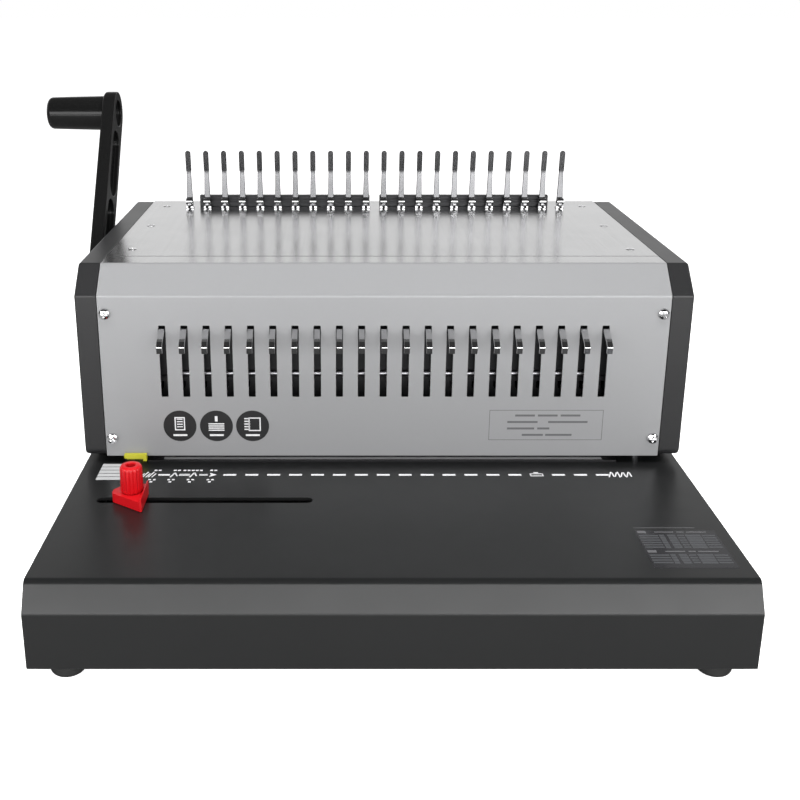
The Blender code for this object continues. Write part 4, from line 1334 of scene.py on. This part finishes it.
@dataclass(frozen=True)
class Handle:
    """The cranked handle: a cast arm with pockets on its inner face, and a tapered grip."""

    shaft: Point2 = (262.0, 102.0)
    length: float = 200.4
    lean_deg: float = 53.9
    inner_x: float = -207.4
    outer_x: float = -217.5
    grip_end_x: float = -263.3
    hub_radius: float = 20.0
    head_radius: float = 17.0
    pocket_depth: float = 3.0

    def along(self, distance: float) -> Point2:
        """A point on the arm's middle line, as (Y, Z)."""
        lean = math.radians(self.lean_deg)
        return self.shaft[0] + distance * math.cos(lean), self.shaft[1] + distance * math.sin(lean)

    def outline(self, hub: float, head: float, start: float, end: float, steps: int) -> list[Point2]:
        """Two round ends and the straight sides that touch both.

        Args:
            hub: Radius at the start.
            head: Radius at the end.
            start: Distance of the first centre from the shaft.
            end: Distance of the second centre from the shaft.
            steps: Chords in each round end.

        Returns:
            The outline in (Y, Z).
        """
        tilt = math.degrees(math.asin((hub - head) / (end - start)))
        lean = self.lean_deg
        return (arc(self.along(end), head, lean - 90 + tilt, lean + 90 - tilt, steps)
                + arc(self.along(start), hub, lean + 90 - tilt, lean + 270 + tilt, steps))

    def arm(self, shop: Workshop) -> None:
        """The arm with its three pockets and the boss on the shaft."""
        def rim(a: Vector, b: Vector) -> bool:
            """Whether an edge lies on the arm's outer face."""
            return max(a.x, b.x) < self.outer_x + 0.1

        solid = Solid([prism(Axis.X, self.outline(self.hub_radius, self.head_radius, 0, self.length, 28),
                             self.outer_x, self.inner_x)])
        solid.round_edges(rim, 2.4, 4)
        solid.add([rod(Axis.X, self.shaft, 14, self.inner_x - 2, -198.6)])
        span = (self.inner_x - self.pocket_depth, self.inner_x + 4)
        for start, end in ((46, 112), (140, 172)):
            solid.cut([prism(Axis.X, self.outline(12.5, 11.0, start, end, 12), *span)])
        solid.cut([rod(Axis.X, self.along(self.length), 10.5, *span)])
        solid.cut([rod(Axis.X, self.shaft, 7.3, -213.0, -190)])
        solid.soften(0.7, 3)
        shop.dress(solid, "crank_arm", Slot.gloss_black, "handle", ["handle_arm"])
        cap = [(self.outer_x + 0.4, 8.0), (self.outer_x - 0.5, 8.0), (self.outer_x - 1.2, 7.4),
               (self.outer_x - 1.5, 6.0), (self.outer_x - 1.6, 1.0)]
        hub_cap = Solid([turned(Axis.X, self.shaft, cap, 48)]).soften(0.1, 1, 50)
        shop.dress(hub_cap, "crank_hub_cap", Slot.gloss_black, "handle")

    def grip(self, shop: Workshop) -> None:
        """The tapered grip with a rounded, slightly dished end."""
        end, near = self.grip_end_x, self.outer_x - 0.3
        rounding = [(end + 4 - 4 * math.sin(math.radians(a)), 8.6 + 4 * math.cos(math.radians(a)))
                    for a in range(0, 91, 10)]
        profile = [(near, 12.6), (near, 13.2), (near - 0.4, 13.6), (near - 14, 13.3), (near - 28, 13.0)]
        profile += rounding + [(end + 0.35, 7.0), (end + 0.6, 4.0), (end + 0.6, 0.8)]
        solid = Solid([turned(Axis.X, self.along(self.length), profile, 72)])
        solid.body.data.shade_smooth()
        solid.body.data.set_sharp_from_angle(angle=math.radians(40))
        shop.dress(solid, "crank_grip", Slot.gloss_black, "handle", ["handle_grip"])

    def build(self, shop: Workshop) -> None:
        """Builds the arm and the grip."""
        self.arm(shop)
        self.grip(shop)


# ---------------------------------------------------------------- paper guide


@dataclass(frozen=True)
class PaperGuide:
    """The red edge guide with its ribbed clamp knob, and the yellow margin tab."""

    centre: Point2 = (-156.5, 103.0)
    low: float = 57.4
    block_top: float = 63.5
    fence_top: float = 66.2
    knob_z: Point2 = (63.9, 81.0)
    knob_radius: float = 7.0
    ribs: int = 16

    def guide(self, shop: Workshop) -> None:
        """The five-sided block on its stem."""
        x, y = self.centre
        plan = [(x + 8.5, 85.5), (x + 8.5, 112.6), (x - 6, 112.6), (x - 11.9, 104.5), (x - 11.9, 99.8)]
        solid = Solid([prism(Axis.Z, rounded(plan, [0.8, 1.2, 1.5, 1.5, 1.5], 4), self.low, self.block_top)])
        solid.add([prism(Axis.Z, capsule((x - 4, y), (x + 4, y), 3.35), 55.2, 59.0)])
        fence = [(x + 7.3, self.block_top - 3), (x + 8.5, self.block_top - 3), (x + 8.5, self.fence_top),
                 (x + 7.9, self.fence_top), (x + 7.3, self.fence_top - 0.8)]
        solid.add([prism(Axis.Y, fence, 86.0, 112.3)])
        solid.cut([rod(Axis.Z, (x, y), 2.9, 50, 75, 32)]).soften(0.55, 3)
        shop.dress(solid, "edge_guide_block", Slot.red_plastic, "edge_guide", ["edge_guide"])

    def knob_ring(self, z: float, radius: float, depth: float) -> list[Point3]:
        """A ring of the knob.

        Args:
            z: Its height.
            radius: Its radius over the ribs.
            depth: How far the ribs stand up.

        Returns:
            The ring's points.
        """
        count = self.ribs * 8
        ring: list[Point3] = []
        for i in range(count):
            angle = 2 * math.pi * i / count
            rib = abs(math.sin(self.ribs * angle / 2)) ** 0.7
            r = radius - depth * (1 - rib)
            ring.append((self.centre[0] + r * math.cos(angle), self.centre[1] + r * math.sin(angle), z))
        return ring

    def knob(self, shop: Workshop) -> None:
        """The ribbed knob with a hole in its top, and the clamp stud under it."""
        low, high = self.knob_z
        radius = self.knob_radius
        rings = [self.knob_ring(low, radius - 0.5, 0.2), self.knob_ring(low + 0.5, radius, 0.75),
                 self.knob_ring(high - 2.6, radius - 0.15, 0.75),
                 self.knob_ring(high - 1.2, radius - 0.35, 0.35),
                 self.knob_ring(high - 0.4, radius - 0.9, 0.0),
                 self.knob_ring(high, radius - 1.7, 0.0), self.knob_ring(high, 3.5, 0.0),
                 self.knob_ring(high - 0.5, 3.0, 0.0), self.knob_ring(high - 6, 2.9, 0.0)]
        solid = Solid([loft(rings)])
        solid.add([rod(Axis.Z, self.centre, 2.5, 50, low + 3, 32)])
        solid.add([rod(Axis.Z, self.centre, 6.5, 51.4, 54.6, 40)])
        solid.body.data.shade_smooth()
        solid.body.data.set_sharp_from_angle(angle=math.radians(42))
        shop.dress(solid, "clamp_knob", Slot.red_plastic, "guide_knob", ["guide_knob"])

    def build(self, shop: Workshop) -> None:
        """Builds the guide, the knob and the tab."""
        self.guide(shop)
        self.knob(shop)
        shop.refine("margin_tab", Slot.yellow_plastic, 0.3, 3)


# ---------------------------------------------------------------- stage


@dataclass(frozen=True)
class SoftBox:
    """A studio light.

    Args:
        name: Its name.
        place: Its place, in metres.
        target: The point it faces.
        size: Its width and height, in metres.
        power: Its power, in watts.
        in_reflections: Whether shiny surfaces show it.
    """

    name: str
    place: Point3
    target: Point3
    size: Point2
    power: float
    in_reflections: bool = True

    def build(self) -> None:
        """Hangs the light."""
        data = bpy.data.lights.new(self.name, "AREA")
        data.shape = "RECTANGLE"
        data.size, data.size_y = self.size
        data.energy = self.power
        made = bpy.data.objects.new(self.name, data)
        bpy.context.scene.collection.objects.link(made)
        made.location = self.place
        direction = Vector(self.target) - Vector(self.place)
        made.rotation_euler = direction.to_track_quat("-Z", "Y").to_euler()
        made.visible_glossy = self.in_reflections


@dataclass(frozen=True)
class Studio:
    """A pale floor, soft light, and the camera."""

    camera_place: Point3 = (-28.2, -499.0, 359.0)
    pitch_deg: float = 17.1
    lens: float = 48.24
    shift: Point2 = (0.075, -0.1)
    floor_lift: float = 0.85
    ambient: float = 0.3
    lights: tuple[SoftBox, ...] = (
        SoftBox("front_left_strip", (-0.58, -0.95, 0.38), (-0.3, -0.15, 0.05), (0.96, 0.34), 4.6),
        SoftBox("front_right_strip", (0.58, -0.95, 0.38), (0.3, -0.15, 0.05), (0.96, 0.34), 5.6),
        SoftBox("front_middle_strip", (0.0, -0.95, 0.42), (0.0, -0.15, 0.05), (0.2, 0.2), 0.7),
        SoftBox("low_line", (0.0, -0.95, 0.1), (0.0, -0.15, 0.06), (2.2, 0.08), 3.0),
        SoftBox("overhead", (0.0, -0.35, 1.6), (0.0, 0.0, 0.1), (2.4, 0.5), 36.0, in_reflections=False),
    )

    def camera(self, shop: Workshop) -> None:
        """The camera at its place, with its shift."""
        data = bpy.data.cameras.new("camera")
        data.lens = self.lens
        data.sensor_width = 36.0
        data.shift_x, data.shift_y = self.shift
        data.clip_start = 0.02
        made = bpy.data.objects.new("camera", data)
        bpy.context.scene.collection.objects.link(made)
        made.location = shop.to_world @ Vector(self.camera_place)
        made.rotation_euler = (math.radians(90 - self.pitch_deg), 0.0, 0.0)
        bpy.context.scene.camera = made

    def floor(self) -> None:
        """A wide matt floor."""
        shape = bmesh.new()
        bmesh.ops.create_grid(shape, x_segments=1, y_segments=1, size=14.0)
        mesh = bpy.data.meshes.new("studio_floor")
        shape.to_mesh(mesh)
        shape.free()
        made = bpy.data.objects.new("studio_floor", mesh)
        bpy.context.scene.collection.objects.link(made)
        material = bpy.data.materials.new("studio_floor")
        material.use_nodes = True
        sheet = Sheet(material.node_tree)
        shader = material.node_tree.nodes["Principled BSDF"]
        path = sheet.node("ShaderNodeLightPath")
        shade = sheet.node("ShaderNodeMix", {0: path.outputs["Is Glossy Ray"], 6: (0.9, 0.9, 0.9, 1.0),
                                             7: (0.25, 0.25, 0.25, 1.0)}, data_type="RGBA")
        sheet.join(shade.outputs[2], shader.inputs["Base Color"])
        shader.inputs["Roughness"].default_value = 0.9
        shader.inputs["Specular IOR Level"].default_value = 0.0
        shader.inputs["Emission Color"].default_value = (1.0, 1.0, 1.0, 1.0)
        sheet.join(sheet.math("MULTIPLY", path.outputs["Is Camera Ray"], self.floor_lift),
                   shader.inputs["Emission Strength"])
        mesh.materials.append(material)

    def world(self) -> None:
        """A pale world that is dimmer overhead and towards the front in reflections."""
        world = bpy.data.worlds.new("studio")
        world.use_nodes = True
        bpy.context.scene.world = world
        sheet = Sheet(world.node_tree)
        background = world.node_tree.nodes["Background"]
        path = sheet.node("ShaderNodeLightPath")
        direction = sheet.node("ShaderNodeTexCoord").outputs["Generated"]
        parts = sheet.node("ShaderNodeSeparateXYZ", {0: direction})
        upward = sheet.node("ShaderNodeMapRange", {
            "Value": parts.outputs["Z"], "From Min": 0.3, "From Max": 0.6, "To Min": 0.95, "To Max": 0.12})
        forward = sheet.node("ShaderNodeMapRange", {
            "Value": parts.outputs["Y"], "From Min": -0.4, "From Max": 0.3, "To Min": 0.15, "To Max": 1.0})
        seen = sheet.math("MULTIPLY", upward.outputs[0], forward.outputs[0])
        glossy = path.outputs["Is Glossy Ray"]
        diffuse_part = sheet.math("MULTIPLY", sheet.math("SUBTRACT", 1.0, glossy), self.ambient)
        strength = sheet.math("MULTIPLY_ADD", seen, glossy, diffuse_part)
        lifted = sheet.math("MAXIMUM", strength, path.outputs["Is Camera Ray"])
        background.inputs["Color"].default_value = (1.0, 1.0, 1.0, 1.0)
        sheet.join(lifted, background.inputs["Strength"])

    def build(self, shop: Workshop) -> None:
        """Sets the stage."""
        bpy.context.scene.view_settings.view_transform = "Standard"
        self.camera(shop)
        self.floor()
        self.world()
        for light in self.lights:
            light.build()


def main() -> None:
    """Builds the stage and every sub-assembly."""
    logging.basicConfig(level=logging.INFO, format="%(name)s %(message)s")
    shop = Workshop.from_frame()
    Studio().build(shop)
    for assembly in (BaseUnit(), TablePrints(), Housing(), FrontPrints(), CombRack(), PunchUnit(), Handle(),
                     PaperGuide()):
        assembly.build(shop)
        log.info("%s is done", type(assembly).__name__)


if __name__ == "__main__":
    main()
